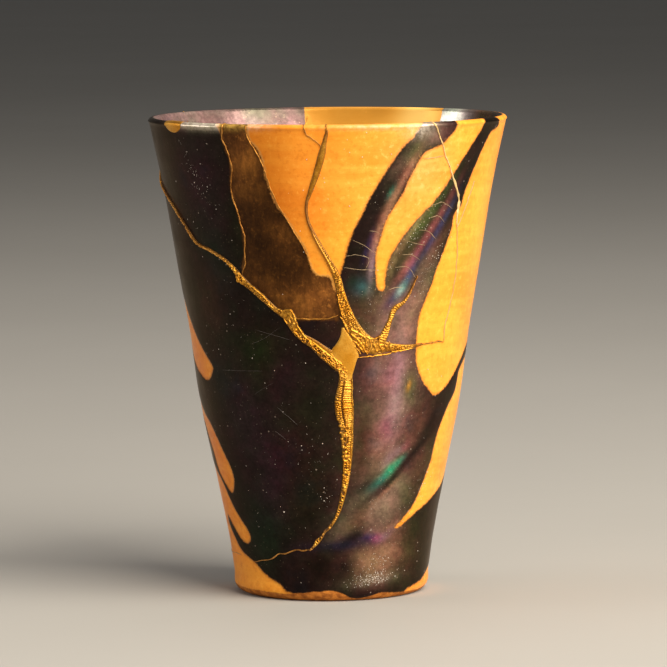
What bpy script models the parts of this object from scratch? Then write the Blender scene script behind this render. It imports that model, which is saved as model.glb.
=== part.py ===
"""Kintsugi cup: a tall thrown stoneware cup whose cracks are mended with raised gold lacquer.

Metres, +Z up. The origin is the middle of the foot, on the surface the cup stands on.
An angle of 0 degrees is the front, at -Y, and angles grow towards +X.
"""

import math

import bmesh
import bpy
from mathutils import Vector

# Driving sizes of the cup, in metres
HEIGHT = 0.115
RIM_RADIUS = 0.0434
FOOT_RADIUS = 0.0236
WALL = 0.0032
LIP_THICKNESS = 0.0023
LIP_TAPER = 0.012
FLOOR_THICKNESS = 0.0065
FLOOR_FILLET = 0.006
FOOT_ROUNDING = 0.003
FOOT_RING_WIDTH = 0.005
FOOT_RECESS_DEPTH = 0.0018

# The outer outline between foot and rim: share of the height, share of the way out to the rim
FOOT_TOP_SHARE = 0.04
OUTLINE = [
    (FOOT_TOP_SHARE, 0.0),
    (0.12, 0.066),
    (0.25, 0.215),
    (0.40, 0.395),
    (0.55, 0.518),
    (0.70, 0.664),
    (0.84, 0.801),
    (0.95, 0.932),
    (1.0, 1.0),
]

# Driving sizes of the gold lacquer, in metres
SEAM_STAND = 0.00055
SEAM_SINK = 0.0006
SEAM_CLEARANCE = 0.0003
CHIP_WIDTH = 0.0078
CHIP_DROP = 0.0029
CHIP_STAND = 0.0002
CHIP_ANGLE = -58.5

# Mesh fineness
TURN_STEPS = 64
OUTER_STATIONS = 10
INNER_STATIONS = 8
ARC_STATIONS = 5
LIP_STATIONS = 6
SPAN_STATIONS = 2
CHIP_SEGMENTS = 20
CHIP_RINGS = 12
DOME_ANGLES = (0, 40, 90, 140, 180)
SHARP_ANGLE = 50

# Routes of the seams: angle in degrees, share of the height, half width in millimetres
LEFT_ARM = [
    (-122, 0.980, 0.45),
    (-106, 0.912, 0.55),
    (-92, 0.872, 0.45),
    (-80.5, 0.850, 0.32),
    (-70.4, 0.821, 0.35),
    (-62.8, 0.785, 0.42),
    (-56, 0.749, 0.50),
    (-48.6, 0.736, 0.40),
    (-41.8, 0.719, 0.50),
    (-37.0, 0.699, 0.75),
    (-34.8, 0.681, 1.15),
    (-31.1, 0.664, 0.90),
    (-26.3, 0.641, 1.00),
    (-20.5, 0.616, 0.85),
    (-16.7, 0.603, 1.30),
    (-14.2, 0.580, 1.35),
    (-10.9, 0.561, 0.85),
    (-6.2, 0.543, 0.95),
    (-1.4, 0.524, 1.50),
    (4.5, 0.504, 1.90),
]
HUB = [
    (4.9, 0.590, 0.50),
    (6.0, 0.566, 1.30),
    (6.4, 0.543, 2.60),
    (6.1, 0.522, 3.40),
    (6.5, 0.502, 2.40),
    (6.8, 0.480, 1.45),
]
STEM = [
    (6.5, 0.510, 1.80),
    (6.5, 0.471, 1.57),
    (5.9, 0.430, 2.15),
    (6.4, 0.400, 2.20),
    (7.2, 0.377, 1.70),
    (7.8, 0.324, 1.33),
    (7.6, 0.271, 0.96),
    (5.9, 0.224, 0.84),
    (3.4, 0.190, 0.48),
    (-1.1, 0.158, 0.41),
    (-8.3, 0.126, 0.70),
    (-12.9, 0.111, 0.30),
]
UPPER_ARM = [
    (-0.2, 0.980, 0.28),
    (0.1, 0.964, 0.30),
    (-1.2, 0.940, 0.43),
    (-3.7, 0.905, 0.43),
    (-6.2, 0.864, 0.34),
    (-7.3, 0.831, 0.30),
    (-6.4, 0.792, 0.32),
    (-3.4, 0.757, 0.43),
    (0.1, 0.720, 0.53),
    (3.0, 0.686, 0.84),
    (4.5, 0.653, 0.96),
    (6.3, 0.617, 1.35),
    (9.7, 0.582, 1.80),
    (13.5, 0.556, 2.20),
    (18.5, 0.541, 1.90),
]
RIGHT_ARM = [
    (14.0, 0.546, 2.00),
    (19.0, 0.539, 2.15),
    (22.4, 0.539, 1.57),
    (26.0, 0.536, 0.96),
    (33.5, 0.535, 0.65),
    (40.6, 0.538, 0.32),
]
ANTLER = [
    (20.5, 0.540, 1.30),
    (22.6, 0.567, 0.96),
    (24.2, 0.589, 0.60),
    (26.0, 0.615, 0.72),
    (29.7, 0.629, 0.53),
    (32.3, 0.650, 0.43),
    (34.8, 0.682, 0.25),
]
BACK_STEM = [
    (-94, 0.086, 0.30),
    (-108, 0.130, 0.50),
    (-124, 0.235, 0.80),
    (-136, 0.360, 1.10),
    (-146, 0.470, 1.70),
    (-152, 0.590, 1.10),
    (-163, 0.730, 0.80),
    (-167, 0.860, 0.60),
    (-173, 0.980, 0.45),
]
BACK_BRANCH = [
    (-144, 0.478, 1.20),
    (-158, 0.440, 1.00),
    (-176, 0.395, 0.90),
    (-194, 0.400, 0.75),
    (-212, 0.432, 0.60),
    (-230, 0.470, 0.45),
    (-246, 0.486, 0.30),
]

# Each part of a network is a little thicker or thinner than its neighbours: route, share of stand and sink
FRONT_NETWORK = [
    (LEFT_ARM, 0.92),
    (HUB, 0.70),
    (STEM, 1.08),
    (UPPER_ARM, 1.00),
    (RIGHT_ARM, 0.85),
    (ANTLER, 0.77),
]
BACK_NETWORK = [(BACK_STEM, 1.0), (BACK_BRANCH, 0.86)]

# Colour, roughness and metallic value of each material
MATERIALS = {
    "stoneware_glaze": ((0.20, 0.10, 0.045, 1.0), 0.28, 0.0),
    "gold_lacquer": ((0.83, 0.55, 0.16, 1.0), 0.34, 1.0),
}

MILLIMETRE = 0.001
SLOPE_STEP = 0.0005


def clear_scene():
    for found in list(bpy.data.objects):
        bpy.data.objects.remove(found, do_unlink=True)


def new_collection(name, hidden=False):
    made = bpy.data.collections.new(name)
    bpy.context.scene.collection.children.link(made)
    made.hide_render = hidden
    return made


def new_material(name):
    colour, roughness, metallic = MATERIALS[name]
    made = bpy.data.materials.new(name)
    made.use_nodes = True
    shader = made.node_tree.nodes["Principled BSDF"]
    shader.inputs["Base Color"].default_value = colour
    shader.inputs["Roughness"].default_value = roughness
    shader.inputs["Metallic"].default_value = metallic
    made.diffuse_color = colour
    return made


def smooth_value(points, at):
    """The value at one place of a smooth curve through (place, value) points."""
    last = len(points) - 1
    span = 0
    while span < last - 1 and at > points[span + 1][0]:
        span += 1
    (x0, y0), (x1, y1) = points[span], points[span + 1]

    def slope(i):
        low, high = max(i - 1, 0), min(i + 1, last)
        return (points[high][1] - points[low][1]) / (points[high][0] - points[low][0])

    width = x1 - x0
    t = (at - x0) / width
    return (
        y0 * (1 + 2 * t) * (1 - t) ** 2
        + y1 * t * t * (3 - 2 * t)
        + width * slope(span) * t * (1 - t) ** 2
        + width * slope(span + 1) * t * t * (t - 1)
    )


def outer_radius(z):
    share = max(z / HEIGHT, FOOT_TOP_SHARE)
    return FOOT_RADIUS + (RIM_RADIUS - FOOT_RADIUS) * smooth_value(OUTLINE, share)


def wall_at(z):
    """The wall thins to the lip over the last stretch below the rim."""
    to_lip = min(max((z - (HEIGHT - LIP_TAPER)) / LIP_TAPER, 0.0), 1.0)
    eased = to_lip * to_lip * (3 - 2 * to_lip)
    return WALL + (LIP_THICKNESS - WALL) * eased


def inner_radius(z):
    return outer_radius(z) - wall_at(z)


def arc(centre, radius, start, end, count):
    """Points on an arc in the (radius, height) plane, from one angle in degrees to another."""
    points = []
    for i in range(count + 1):
        turn = math.radians(start + (end - start) * i / count)
        points.append((centre[0] + radius * math.cos(turn), centre[1] + radius * math.sin(turn)))
    return points


def even_steps(start, end, count):
    """Places between two ends, both left out."""
    return [start + (end - start) * i / count for i in range(1, count)]


def inner_outline():
    """From the middle of the inner floor, over its fillet and up to the lip."""
    fillet_top = FLOOR_THICKNESS + FLOOR_FILLET
    corner = (inner_radius(fillet_top) - FLOOR_FILLET, fillet_top)
    points = [(0.0, FLOOR_THICKNESS)]
    points += arc(corner, FLOOR_FILLET, -90, 0, ARC_STATIONS)
    lip_start = HEIGHT - LIP_THICKNESS / 2
    for z in even_steps(fillet_top, lip_start, INNER_STATIONS):
        points.append((inner_radius(z), z))
    return points


def lip_outline(stand=0.0):
    """The rounded lip, from its inner side to its outer side."""
    half = LIP_THICKNESS / 2
    centre = (RIM_RADIUS - half, HEIGHT - half)
    return arc(centre, half + stand, 180, 0, LIP_STATIONS)


def outer_outline():
    """Down the outer wall, round the corner of the foot and in to the axis below."""
    lip_start = HEIGHT - LIP_THICKNESS / 2
    points = []
    for z in even_steps(lip_start, FOOT_ROUNDING, OUTER_STATIONS):
        points.append((outer_radius(z), z))
    corner_radius = outer_radius(FOOT_ROUNDING)
    ring_outer = corner_radius - FOOT_ROUNDING
    points += arc((ring_outer, FOOT_ROUNDING), FOOT_ROUNDING, 0, -90, ARC_STATIONS)
    ring_inner = ring_outer - FOOT_RING_WIDTH
    points.append((ring_inner, 0.0))
    points.append((ring_inner - FOOT_RECESS_DEPTH, FOOT_RECESS_DEPTH))
    points.append((0.0, FOOT_RECESS_DEPTH))
    return points


def turned(name, outline, collection, ring=False):
    """A profile turned once round the Z axis. A ring's profile closes on itself, clear of the axis."""
    mesh = bpy.data.meshes.new(name)
    vertices = [(radius, 0.0, z) for radius, z in outline]
    edges = [(i, i + 1) for i in range(len(vertices) - 1)]
    if ring:
        edges.append((len(vertices) - 1, 0))
    mesh.from_pydata(vertices, edges, [])
    made = bpy.data.objects.new(name, mesh)
    collection.objects.link(made)
    screw = made.modifiers.new("Turn", "SCREW")
    screw.axis = "Z"
    screw.angle = math.tau
    screw.steps = TURN_STEPS
    screw.render_steps = TURN_STEPS
    screw.use_merge_vertices = True
    screw.merge_threshold = 0.00001
    screw.use_smooth_shade = True
    return made


def on_surface(angle, share):
    """The point and the outward normal of the outer wall at an angle and a share of the height."""
    z = share * HEIGHT
    turn = math.radians(angle)
    radius = outer_radius(z)
    lean = (outer_radius(z + SLOPE_STEP) - outer_radius(z - SLOPE_STEP)) / (2 * SLOPE_STEP)
    outward = Vector((math.sin(turn), -math.cos(turn), 0.0))
    normal = (outward - Vector((0.0, 0.0, lean))).normalized()
    return outward * radius + Vector((0.0, 0.0, z)), normal


def route_stations(route):
    """Evenly smoothed stations through the points of a route."""
    places = list(range(len(route)))
    curves = [list(zip(places, [point[k] for point in route])) for k in range(3)]
    count = (len(route) - 1) * SPAN_STATIONS
    return [tuple(smooth_value(curve, i / SPAN_STATIONS) for curve in curves) for i in range(count + 1)]


def seam_section(half_width, stand, sink):
    """A low dome with a sunken base, as (sideways, outward) points."""
    dome = [(math.cos(math.radians(a)), math.sin(math.radians(a))) for a in DOME_ANGLES]
    points = [(half_width, -sink)]
    points += [(half_width * side, stand * up) for side, up in dome]
    points.append((-half_width, -sink))
    return points


def seam_strip(name, route, relief, grow, collection):
    """A strip of lacquer along a route on the wall, with closed ends.

    relief is its share of the usual stand and depth, and grow widens it on every side.
    """
    stand = SEAM_STAND * relief
    sink = SEAM_SINK * relief
    stations = route_stations(route)
    frames = [on_surface(angle, share) for angle, share, _ in stations]
    mesh = bmesh.new()
    rings = []
    for i, (point, normal) in enumerate(frames):
        ahead = frames[min(i + 1, len(frames) - 1)][0]
        behind = frames[max(i - 1, 0)][0]
        along = ahead - behind
        along = (along - normal * along.dot(normal)).normalized()
        sideways = along.cross(normal)
        half_width = stations[i][2] * MILLIMETRE + grow
        end_shift = {0: -grow, len(frames) - 1: grow}.get(i, 0.0)
        base = point + along * end_shift
        section = seam_section(half_width, stand + grow, sink + grow)
        rings.append([mesh.verts.new(base + sideways * side + normal * up) for side, up in section])
    count = len(rings[0])
    for ring, following in zip(rings, rings[1:]):
        for k in range(count):
            after = (k + 1) % count
            mesh.faces.new((ring[k], ring[after], following[after], following[k]))
    mesh.faces.new(list(reversed(rings[0])))
    mesh.faces.new(rings[-1])
    bmesh.ops.recalc_face_normals(mesh, faces=mesh.faces)
    data = bpy.data.meshes.new(name)
    mesh.to_mesh(data)
    mesh.free()
    data.shade_smooth()
    data.set_sharp_from_angle(angle=math.radians(SHARP_ANGLE))
    made = bpy.data.objects.new(name, data)
    collection.objects.link(made)
    return made


def as_helper(helper):
    helper.hide_render = True
    helper.display_type = "WIRE"


def boolean(target, helper, operation):
    """Joins or cuts with a helper.

    Strips that meet at a low angle leave slivers that the exact solver drops at some sizes. The manifold
    solver holds there, and every mesh here is closed, as it needs.
    """
    as_helper(helper)
    modifier = target.modifiers.new(f"{operation.title()} {helper.name}", "BOOLEAN")
    modifier.operation = operation
    modifier.solver = "MANIFOLD"
    modifier.object = helper


def joined_strips(name, network, grow, collection, cutters):
    """One connected run of strips, joined into one solid."""
    whole = None
    for number, (route, relief) in enumerate(network):
        if whole is None:
            whole = seam_strip(name, route, relief, grow, collection)
        else:
            strip = seam_strip(f"{name}_strip_{number}", route, relief, grow, cutters)
            boolean(whole, strip, "UNION")
    return whole


def make_seams(name, network, material, parts, cutters):
    """One connected run of lacquer. Returns the cutter of the groove that it lies in."""
    seam = joined_strips(name, network, 0.0, parts, cutters)
    seam.data.materials.append(material)
    return joined_strips(f"{name}_groove", network, SEAM_CLEARANCE, cutters, cutters)


def chip_bite(name, grow, collection):
    """The scoop missing from the rim: an ellipsoid centred on the lip."""
    mesh = bmesh.new()
    bmesh.ops.create_uvsphere(mesh, u_segments=CHIP_SEGMENTS, v_segments=CHIP_RINGS, radius=1.0)
    size = Vector((CHIP_WIDTH / 2 + grow, LIP_THICKNESS + grow, CHIP_DROP + grow))
    bmesh.ops.scale(mesh, vec=size, verts=mesh.verts)
    data = bpy.data.meshes.new(name)
    mesh.to_mesh(data)
    mesh.free()
    data.shade_smooth()
    made = bpy.data.objects.new(name, data)
    turn = math.radians(CHIP_ANGLE)
    middle = RIM_RADIUS - LIP_THICKNESS / 2
    made.location = (middle * math.sin(turn), -middle * math.cos(turn), HEIGHT)
    made.rotation_euler = (0.0, 0.0, turn)
    collection.objects.link(made)
    return made


def wall_band_outline():
    """The top of the wall, a little proud of it all round, for cutting the chip's fill to shape."""
    low = HEIGHT - 2 * CHIP_DROP
    inner_low = (inner_radius(low) - CHIP_STAND, low)
    outer_low = (outer_radius(low) + CHIP_STAND, low)
    return [inner_low] + lip_outline(CHIP_STAND) + [outer_low]


def make_rim_chip(material, parts, cutters):
    """The gold that fills the chip in the rim."""
    fill = chip_bite("gold_rim_chip", 0.0, parts)
    fill.data.materials.append(material)
    band = turned("wall_band", wall_band_outline(), cutters, ring=True)
    boolean(fill, band, "INTERSECT")
    return chip_bite("rim_chip_bite", SEAM_CLEARANCE, cutters)


def make_body(material, parts, cuts):
    outline = inner_outline() + lip_outline() + outer_outline()
    body = turned("cup_body", outline, parts)
    body.data.materials.append(material)
    for cut in cuts:
        boolean(body, cut, "DIFFERENCE")
    return body


def main():
    clear_scene()
    parts = new_collection("kintsugi_cup")
    cutters = new_collection("cutters", hidden=True)
    glaze = new_material("stoneware_glaze")
    gold = new_material("gold_lacquer")
    cuts = [
        make_seams("gold_seam_front", FRONT_NETWORK, gold, parts, cutters),
        make_seams("gold_seam_back", BACK_NETWORK, gold, parts, cutters),
        make_rim_chip(gold, parts, cutters),
    ]
    make_body(glaze, parts, cuts)


main()
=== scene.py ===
"""The looks of the kintsugi cup: poured glazes, raised gold in its cracks, and a plain studio.

Metres, +Z up. An angle of 0 degrees is the front, at -Y, and angles grow towards +X. A place on the wall
is an angle in degrees and a share of the cup's height. Past the lip the share goes on growing, over the
lip and down the inside.
"""

import math

import bpy
import numpy as np
from mathutils import Matrix, Vector


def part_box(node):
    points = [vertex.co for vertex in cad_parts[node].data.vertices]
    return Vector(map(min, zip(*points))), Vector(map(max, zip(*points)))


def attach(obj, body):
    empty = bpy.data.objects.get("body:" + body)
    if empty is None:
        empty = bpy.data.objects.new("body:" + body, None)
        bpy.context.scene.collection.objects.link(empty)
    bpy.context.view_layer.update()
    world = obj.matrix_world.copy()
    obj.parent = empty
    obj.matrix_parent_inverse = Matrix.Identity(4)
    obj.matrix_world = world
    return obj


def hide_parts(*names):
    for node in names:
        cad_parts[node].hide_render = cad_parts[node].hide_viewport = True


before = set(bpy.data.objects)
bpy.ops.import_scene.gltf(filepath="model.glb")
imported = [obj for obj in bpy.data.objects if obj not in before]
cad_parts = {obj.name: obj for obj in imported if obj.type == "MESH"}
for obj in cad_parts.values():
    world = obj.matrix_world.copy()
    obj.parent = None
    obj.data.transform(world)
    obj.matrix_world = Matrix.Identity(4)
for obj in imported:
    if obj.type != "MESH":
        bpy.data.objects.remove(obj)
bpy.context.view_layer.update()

BODY = "root"
MILLIMETRE = 0.001

# The cup's own sizes, in metres
CUP_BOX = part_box("cup_body")
HEIGHT = CUP_BOX[1].z
RIM_RADIUS = CUP_BOX[1].x
FOOT_RADIUS = 0.0236
WALL = 0.0032
LIP_THICKNESS = 0.0023
LIP_TAPER = 0.012
FLOOR_THICKNESS = 0.0065
FLOOR_FILLET = 0.006
FOOT_ROUNDING = 0.003
FOOT_RING_WIDTH = 0.005
FOOT_RECESS_DEPTH = 0.0018
FOOT_TOP_SHARE = 0.04

# The wall's outline: share of the height, and share of the way from the foot's radius to the rim's
OUTLINE = [
    (FOOT_TOP_SHARE, 0.0), (0.12, 0.066), (0.25, 0.215), (0.4, 0.395), (0.55, 0.518), (0.7, 0.664),
    (0.84, 0.801), (0.95, 0.932), (1.0, 1.0),
]
SLOPE_STEP = 0.0005

# The layout that a baked copy of the looks uses: bands for the wall, the crystals, the cracks and the gold
BAKE_MAP = "OFBake"
WALL_BAND = 0.93
OUTSIDE_WEIGHT = 1.6
INSIDE_WEIGHT = 0.7
CRYSTAL_CELLS = 128
CRYSTAL_BAND = 0.935
CRYSTAL_CELL_HEIGHT = 0.005
THREAD_BAND = 0.985
THREAD_BAND_HEIGHT = 0.008
THREAD_MARGIN = 0.1
CELL_FILL = 0.35
GOLD_OUTSIDE_BAND = (0.01, 0.62)
GOLD_INSIDE_BAND = (0.66, 0.32)
GOLD_SPAN = 0.98

# Places along the wall's outline, in shares of the height: outer wall, lip, then down the inside
LIP_HALF = LIP_THICKNESS / 2
LIP_START = 1 - LIP_HALF / HEIGHT
LIP_END = LIP_START + math.pi * LIP_HALF / HEIGHT

# Fineness of the body's mesh
COLUMNS = 400
OUTER_ROWS = 160
LIP_ROWS = 12
INNER_ROWS = 26
CORNER_ROWS = 6
FLAT_ROWS = 4

# Shares that mark the rows of the floor inside and of the underside
FLOOR_SHARES = (2.2, 2.1, 2.0)
UNDERSIDE_SHARES = (-0.03, -0.05, -0.07, -0.1, -0.15)

# Relief of the body, in metres: throwing waves in the wall, and how far the dark glaze stands over the other
WAVE_DEPTH = 0.00010
GLAZE_STEP = 0.00009
RIM_SINK = 0.00012
RIM_SLACK = 0.00001
GLAZE_EDGE = 0.0006
WAVE_ROWS = 22
FINE_WAVE_ROWS = 61
WAVE_SEED = 11
FINE_WAVE_SEED = 12
FINE_WAVE_SHARE = 0.5
WAVE_COLUMNS = 8
WAVE_LEAN = 0.5

# Stretches of the wall, in shares, over which the waves start and end and the rim starts to draw in
WAVES_START = (0.0, 0.05)
WAVES_END = (0.93, 0.985)
RIM_START = (0.95, 0.98)
UNDERSIDE_LIFT = 0.001

# How the fields over the wall are worked out: points to a span of an outline, places at a time, least sizes
EDGE_STEPS = 5
CHUNK = 4096
TINY = 1e-18
INNER_LEAST = 0.01
NOISE_LATTICE = 64

# Gold seams: angle, share, half width in millimetres
LEFT_ARM = [
    (-122, 0.98, 0.45), (-106, 0.912, 0.55), (-92, 0.872, 0.45), (-80.5, 0.85, 0.32), (-70.4, 0.821, 0.32),
    (-62.8, 0.785, 0.3), (-56, 0.749, 0.35), (-48.6, 0.736, 0.36), (-41.8, 0.719, 0.4), (-37.0, 0.697, 0.6),
    (-35.0, 0.68, 0.95), (-31.1, 0.663, 0.68), (-25.5, 0.638, 0.66), (-19.8, 0.613, 0.62),
    (-15.8, 0.604, 1.5), (-13.8, 0.58, 1.05), (-11.0, 0.562, 0.95), (-6.6, 0.5475, 1.14),
    (-1.8, 0.527, 1.52), (4.5, 0.504, 1.9),
]
HUB = [
    (5.4, 0.578, 0.4), (6.1, 0.561, 1.2), (6.4, 0.542, 2.55), (6.1, 0.522, 3.4), (6.5, 0.502, 2.4),
    (6.8, 0.48, 1.45),
]
STEM = [
    (6.5, 0.51, 1.8), (6.5, 0.471, 1.57), (5.9, 0.43, 2.15), (6.4, 0.4, 2.2), (7.2, 0.377, 1.7),
    (7.8, 0.324, 1.33), (7.6, 0.271, 0.92), (5.9, 0.224, 0.66), (3.4, 0.187, 0.44), (-0.6, 0.16, 0.36),
    (-3.2, 0.151, 0.3), (-4.9, 0.14, 0.34), (-7.4, 0.129, 0.56), (-9.4, 0.119, 0.34), (-11.6, 0.111, 0.24),
]
UPPER_ARM = [
    (-0.2, 0.985, 0.3), (-1.0, 0.964, 0.48), (-1.9, 0.94, 0.78), (-3.5, 0.905, 0.72), (-5.9, 0.864, 0.5),
    (-7.4, 0.836, 0.26), (-6.9, 0.8, 0.24), (-3.5, 0.757, 0.43), (0.1, 0.72, 0.53), (3.0, 0.686, 0.84),
    (4.5, 0.653, 0.96), (6.3, 0.617, 1.35), (9.4, 0.581, 1.62), (13.2, 0.555, 1.85), (18.3, 0.539, 1.6),
]
RIGHT_ARM = [
    (14.0, 0.544, 1.75), (19.0, 0.538, 1.85), (22.4, 0.538, 1.45), (26.0, 0.536, 0.96), (33.5, 0.535, 0.55),
    (40.6, 0.538, 0.24),
]
ANTLER = [
    (20.5, 0.54, 1.3), (22.6, 0.567, 0.96), (24.2, 0.589, 0.6), (26.0, 0.615, 0.72), (29.7, 0.629, 0.44),
    (32.3, 0.65, 0.32), (34.8, 0.682, 0.16),
]
BACK_STEM = [
    (-101, 0.104, 0.24), (-108, 0.13, 0.5), (-124, 0.235, 0.8), (-136, 0.36, 1.1), (-146, 0.47, 1.7),
    (-152, 0.59, 1.1), (-163, 0.73, 0.8), (-167, 0.86, 0.6), (-173, 0.98, 0.45),
]
BACK_BRANCH = [
    (-144, 0.478, 1.2), (-158, 0.44, 1.0), (-176, 0.395, 0.9), (-194, 0.4, 0.75), (-212, 0.432, 0.6),
    (-230, 0.47, 0.45), (-246, 0.486, 0.3),
]

# Relief of the gold, in metres
SEAM_STAND = 0.00055
SEAM_SINK = 0.00035
EDGE_FALL = 2.5
KEEP_ABOVE = -0.00022
GRID_RISE = 0.000085
GRID_TURN = 0.137
GRID_MARGIN = 6.0
GRID_BELOW = 0.03
GRID_ABOVE = 0.02
ROUTE_STEPS = 8
SPAN_MARGIN = 0.0008
RIDGE_WOBBLE = 0.00014
RIDGE_LOW = 0.62
RIDGE_HIGH = 1.12
RIDGE_TAIL = 0.55
RIDGE_HEAD = 0.8
RIDGE_WOBBLE_SEED = 15
RIDGE_SEED = 16
RIDGE_WAVE_TURN = 0.8
RIDGE_WAVE_ROWS = 150
RIDGE_LUMP_TURN = 1.3
RIDGE_LUMP_ROWS = 230
BULK_FROM = 0.00022
BULK_TO = 0.00058
SEAM_GRAIN = 0.00028
SEAM_WRINKLE = 0.00055
STEM_SPLIT = -0.24
STEM_GROOVE_DEPTH = 0.9
STEM_GROOVE_WIDTH = 0.08

# How beads, wrinkles and grain shape the gold, in shares of its height and of a bead's pitch
BEAD_JITTER = 1.5
BEAD_DRIFT = 0.4
BEAD_TWIST = 0.7
BEAD_ROUNDNESS = 0.6
BEAD_HEIGHTS = 64
BEAD_LEAST = 0.80
BEAD_SPREAD = 0.25
WRINKLE_LEAST = 0.18
WRINKLE_SPREAD = 0.95
WRINKLE_WIDTH = 1.25
WRINKLE_SLOPE = 4.0
WRINKLE_ROUNDNESS = 0.7
GRAIN_LEAST = 0.72
GRAIN_SPREAD = 0.56

# Ridges on the web between the arms: points as (angle, share), half width in millimetres, share of the stand
RIDGES = [
    ([(8.7, 0.577), (12.0, 0.566), (14.3, 0.556), (14.9, 0.54)], 0.34, 1.02),
    ([(8.6, 0.567), (11.2, 0.555), (13.2, 0.54), (15.2, 0.525)], 0.33, 1.0),
    ([(9.4, 0.553), (11.4, 0.545), (13.6, 0.529)], 0.29, 0.98), ([(10.4, 0.54), (12.6, 0.527)], 0.25, 0.9),
    ([(15.9, 0.556), (16.8, 0.542), (15.7, 0.528)], 0.31, 1.0),
    ([(17.9, 0.556), (18.0, 0.543), (19.6, 0.53)], 0.33, 1.02),
    ([(20.1, 0.56), (20.2, 0.545), (21.5, 0.532)], 0.31, 1.0),
    ([(22.4, 0.553), (22.6, 0.543), (24.0, 0.533)], 0.29, 0.95),
    ([(24.6, 0.548), (25.6, 0.535)], 0.26, 0.85),
    ([(11.6, 0.518), (15.8, 0.519), (21.7, 0.521), (26.1, 0.526), (29.8, 0.528), (35.6, 0.531)], 0.2, 0.8),
    ([(4.4, 0.604), (5.6, 0.592), (6.8, 0.58), (7.6, 0.57)], 0.24, 1.02),
    ([
        (5.4, 0.65), (7.4, 0.624), (9.8, 0.597), (12.6, 0.571), (15.5, 0.558), (19.0, 0.557), (21.6, 0.565),
    ], 0.17, 1.02),
    ([(3.0, 0.65), (4.1, 0.626), (5.2, 0.604)], 0.17, 0.98),
    ([(9.2, 0.475), (9.4, 0.429), (9.6, 0.377), (9.4, 0.334), (9.2, 0.285)], 0.24, 1.02),
    ([(-33.6, 0.676), (-29.7, 0.664), (-25.6, 0.645), (-22.4, 0.624), (-18.6, 0.616)], 0.16, 0.92),
    ([(-18.6, 0.614), (-16.6, 0.618), (-14.6, 0.616), (-13.5, 0.604), (-13.0, 0.592)], 0.22, 0.95),
    ([(-18.1, 0.61), (-17.7, 0.6), (-16.4, 0.59)], 0.18, 0.85),
    ([
        (-12.7, 0.592), (-11.8, 0.579), (-9.6, 0.563), (-5.8, 0.547), (-1.2, 0.529), (2.6, 0.513),
    ], 0.18, 0.98),
    ([(-1.8, 0.531), (0.8, 0.515), (2.2, 0.498)], 0.24, 1.0),
    ([(0.6, 0.527), (3.0, 0.507), (4.0, 0.488)], 0.22, 0.95),
]

# Lone beads of gold: angle, share, radius in millimetres, share of the stand
BEADS = [
    (-36.3, 0.691, 0.6, 1.0), (-36.0, 0.676, 0.55, 0.95), (-15.8, 0.602, 0.62, 0.7),
    (-13.9, 0.59, 0.42, 1.02), (-13.2, 0.577, 0.4, 1.0), (4.3, 0.376, 0.4, 0.85), (4.5, 0.361, 0.3, 0.7),
    (5.2, 0.348, 0.42, 0.85), (5.5, 0.331, 0.28, 0.65), (5.8, 0.311, 0.38, 0.8), (6.1, 0.292, 0.24, 0.65),
    (6.0, 0.271, 0.34, 0.75), (3.3, 0.389, 0.26, 0.6),
]

# Fine lines of gold: bulk, and a route of angle, share, half width in millimetres. Gold of more bulk is
# brighter, and over 1 it pales
HAIRLINES = [
    (0.05, [
        (-11.4, 0.112, 0.3), (-15.8, 0.109, 0.24), (-19.6, 0.11, 0.24), (-26.7, 0.101, 0.28),
        (-30.6, 0.099, 0.24), (-35.7, 0.088, 0.18), (-45.5, 0.08, 0.13), (-51.0, 0.077, 0.09),
    ]),
    (0.2, [(-121.6, 0.978, 0.26), (-122.8, 0.988, 0.22), (-123.6, 0.998, 0.18), (-124.0, 1.004, 0.12)]),
    (0.1, [
        (-7.9, 1.01, 0.17), (-6.7, 0.982, 0.17), (-5.2, 0.974, 0.17), (-2.1, 0.957, 0.18),
        (-1.4, 0.944, 0.17),
    ]),
    (0.25, [(1.6, 1.09, 0.2), (0.4, 1.04, 0.24), (-0.3, 1.004, 0.26), (-0.2, 0.98, 0.27)]),
    (0.25, [(40.6, 0.538, 0.26), (45.1, 0.539, 0.24), (50, 0.54, 0.22), (54.1, 0.538, 0.16)]),
    (1.6, [
        (34.0, 1.06, 0.18), (35.2, 1.004, 0.19), (37.1, 0.981, 0.19), (39.7, 0.954, 0.22),
        (42.1, 0.926, 0.22), (46.4, 0.888, 0.3), (48.3, 0.871, 0.4), (50.6, 0.851, 0.38),
        (51.8, 0.834, 0.46), (52.3, 0.82, 0.6), (52.1, 0.8, 0.4), (52.6, 0.78, 0.22),
    ]),
    (0.05, [
        (-34.0, 1.06, 0.17), (-34.8, 1.0, 0.17), (-35.6, 0.97, 0.18), (-34.5, 0.949, 0.18),
        (-33.4, 0.912, 0.23), (-34.5, 0.88, 0.2), (-34.5, 0.85, 0.19), (-33.0, 0.818, 0.19),
        (-32.3, 0.795, 0.19), (-31.4, 0.765, 0.19), (-31.9, 0.732, 0.19), (-32.3, 0.71, 0.19),
        (-34.0, 0.69, 0.21),
    ]),
    (0.35, [
        (-12.9, 0.6, 0.26), (-7.1, 0.599, 0.21), (-1.5, 0.6, 0.22), (1.5, 0.603, 0.25), (3.4, 0.607, 0.27),
    ]),
    (0.25, [
        (-26.4, 1.0, 0.15), (-26.1, 0.974, 0.17), (-23.2, 0.94, 0.16), (-22.1, 0.92, 0.14),
        (-20.9, 0.898, 0.13), (-18.2, 0.845, 0.12), (-15.4, 0.814, 0.12), (-13.2, 0.791, 0.12),
        (-9.4, 0.752, 0.12), (-7.6, 0.728, 0.11), (-6.1, 0.701, 0.1),
    ]),
]
BACK_HAIRLINES = [
    (0.2, [(-172.9, 0.976, 0.28), (-173.4, 0.987, 0.24), (-174.2, 0.997, 0.2), (-174.6, 1.004, 0.14)]),
    (0.35, [(-242, 0.483, 0.3), (-249, 0.49, 0.24), (-256, 0.489, 0.2), (-262, 0.497, 0.12)]),
]
HAIR_STAND = 0.00015
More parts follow.
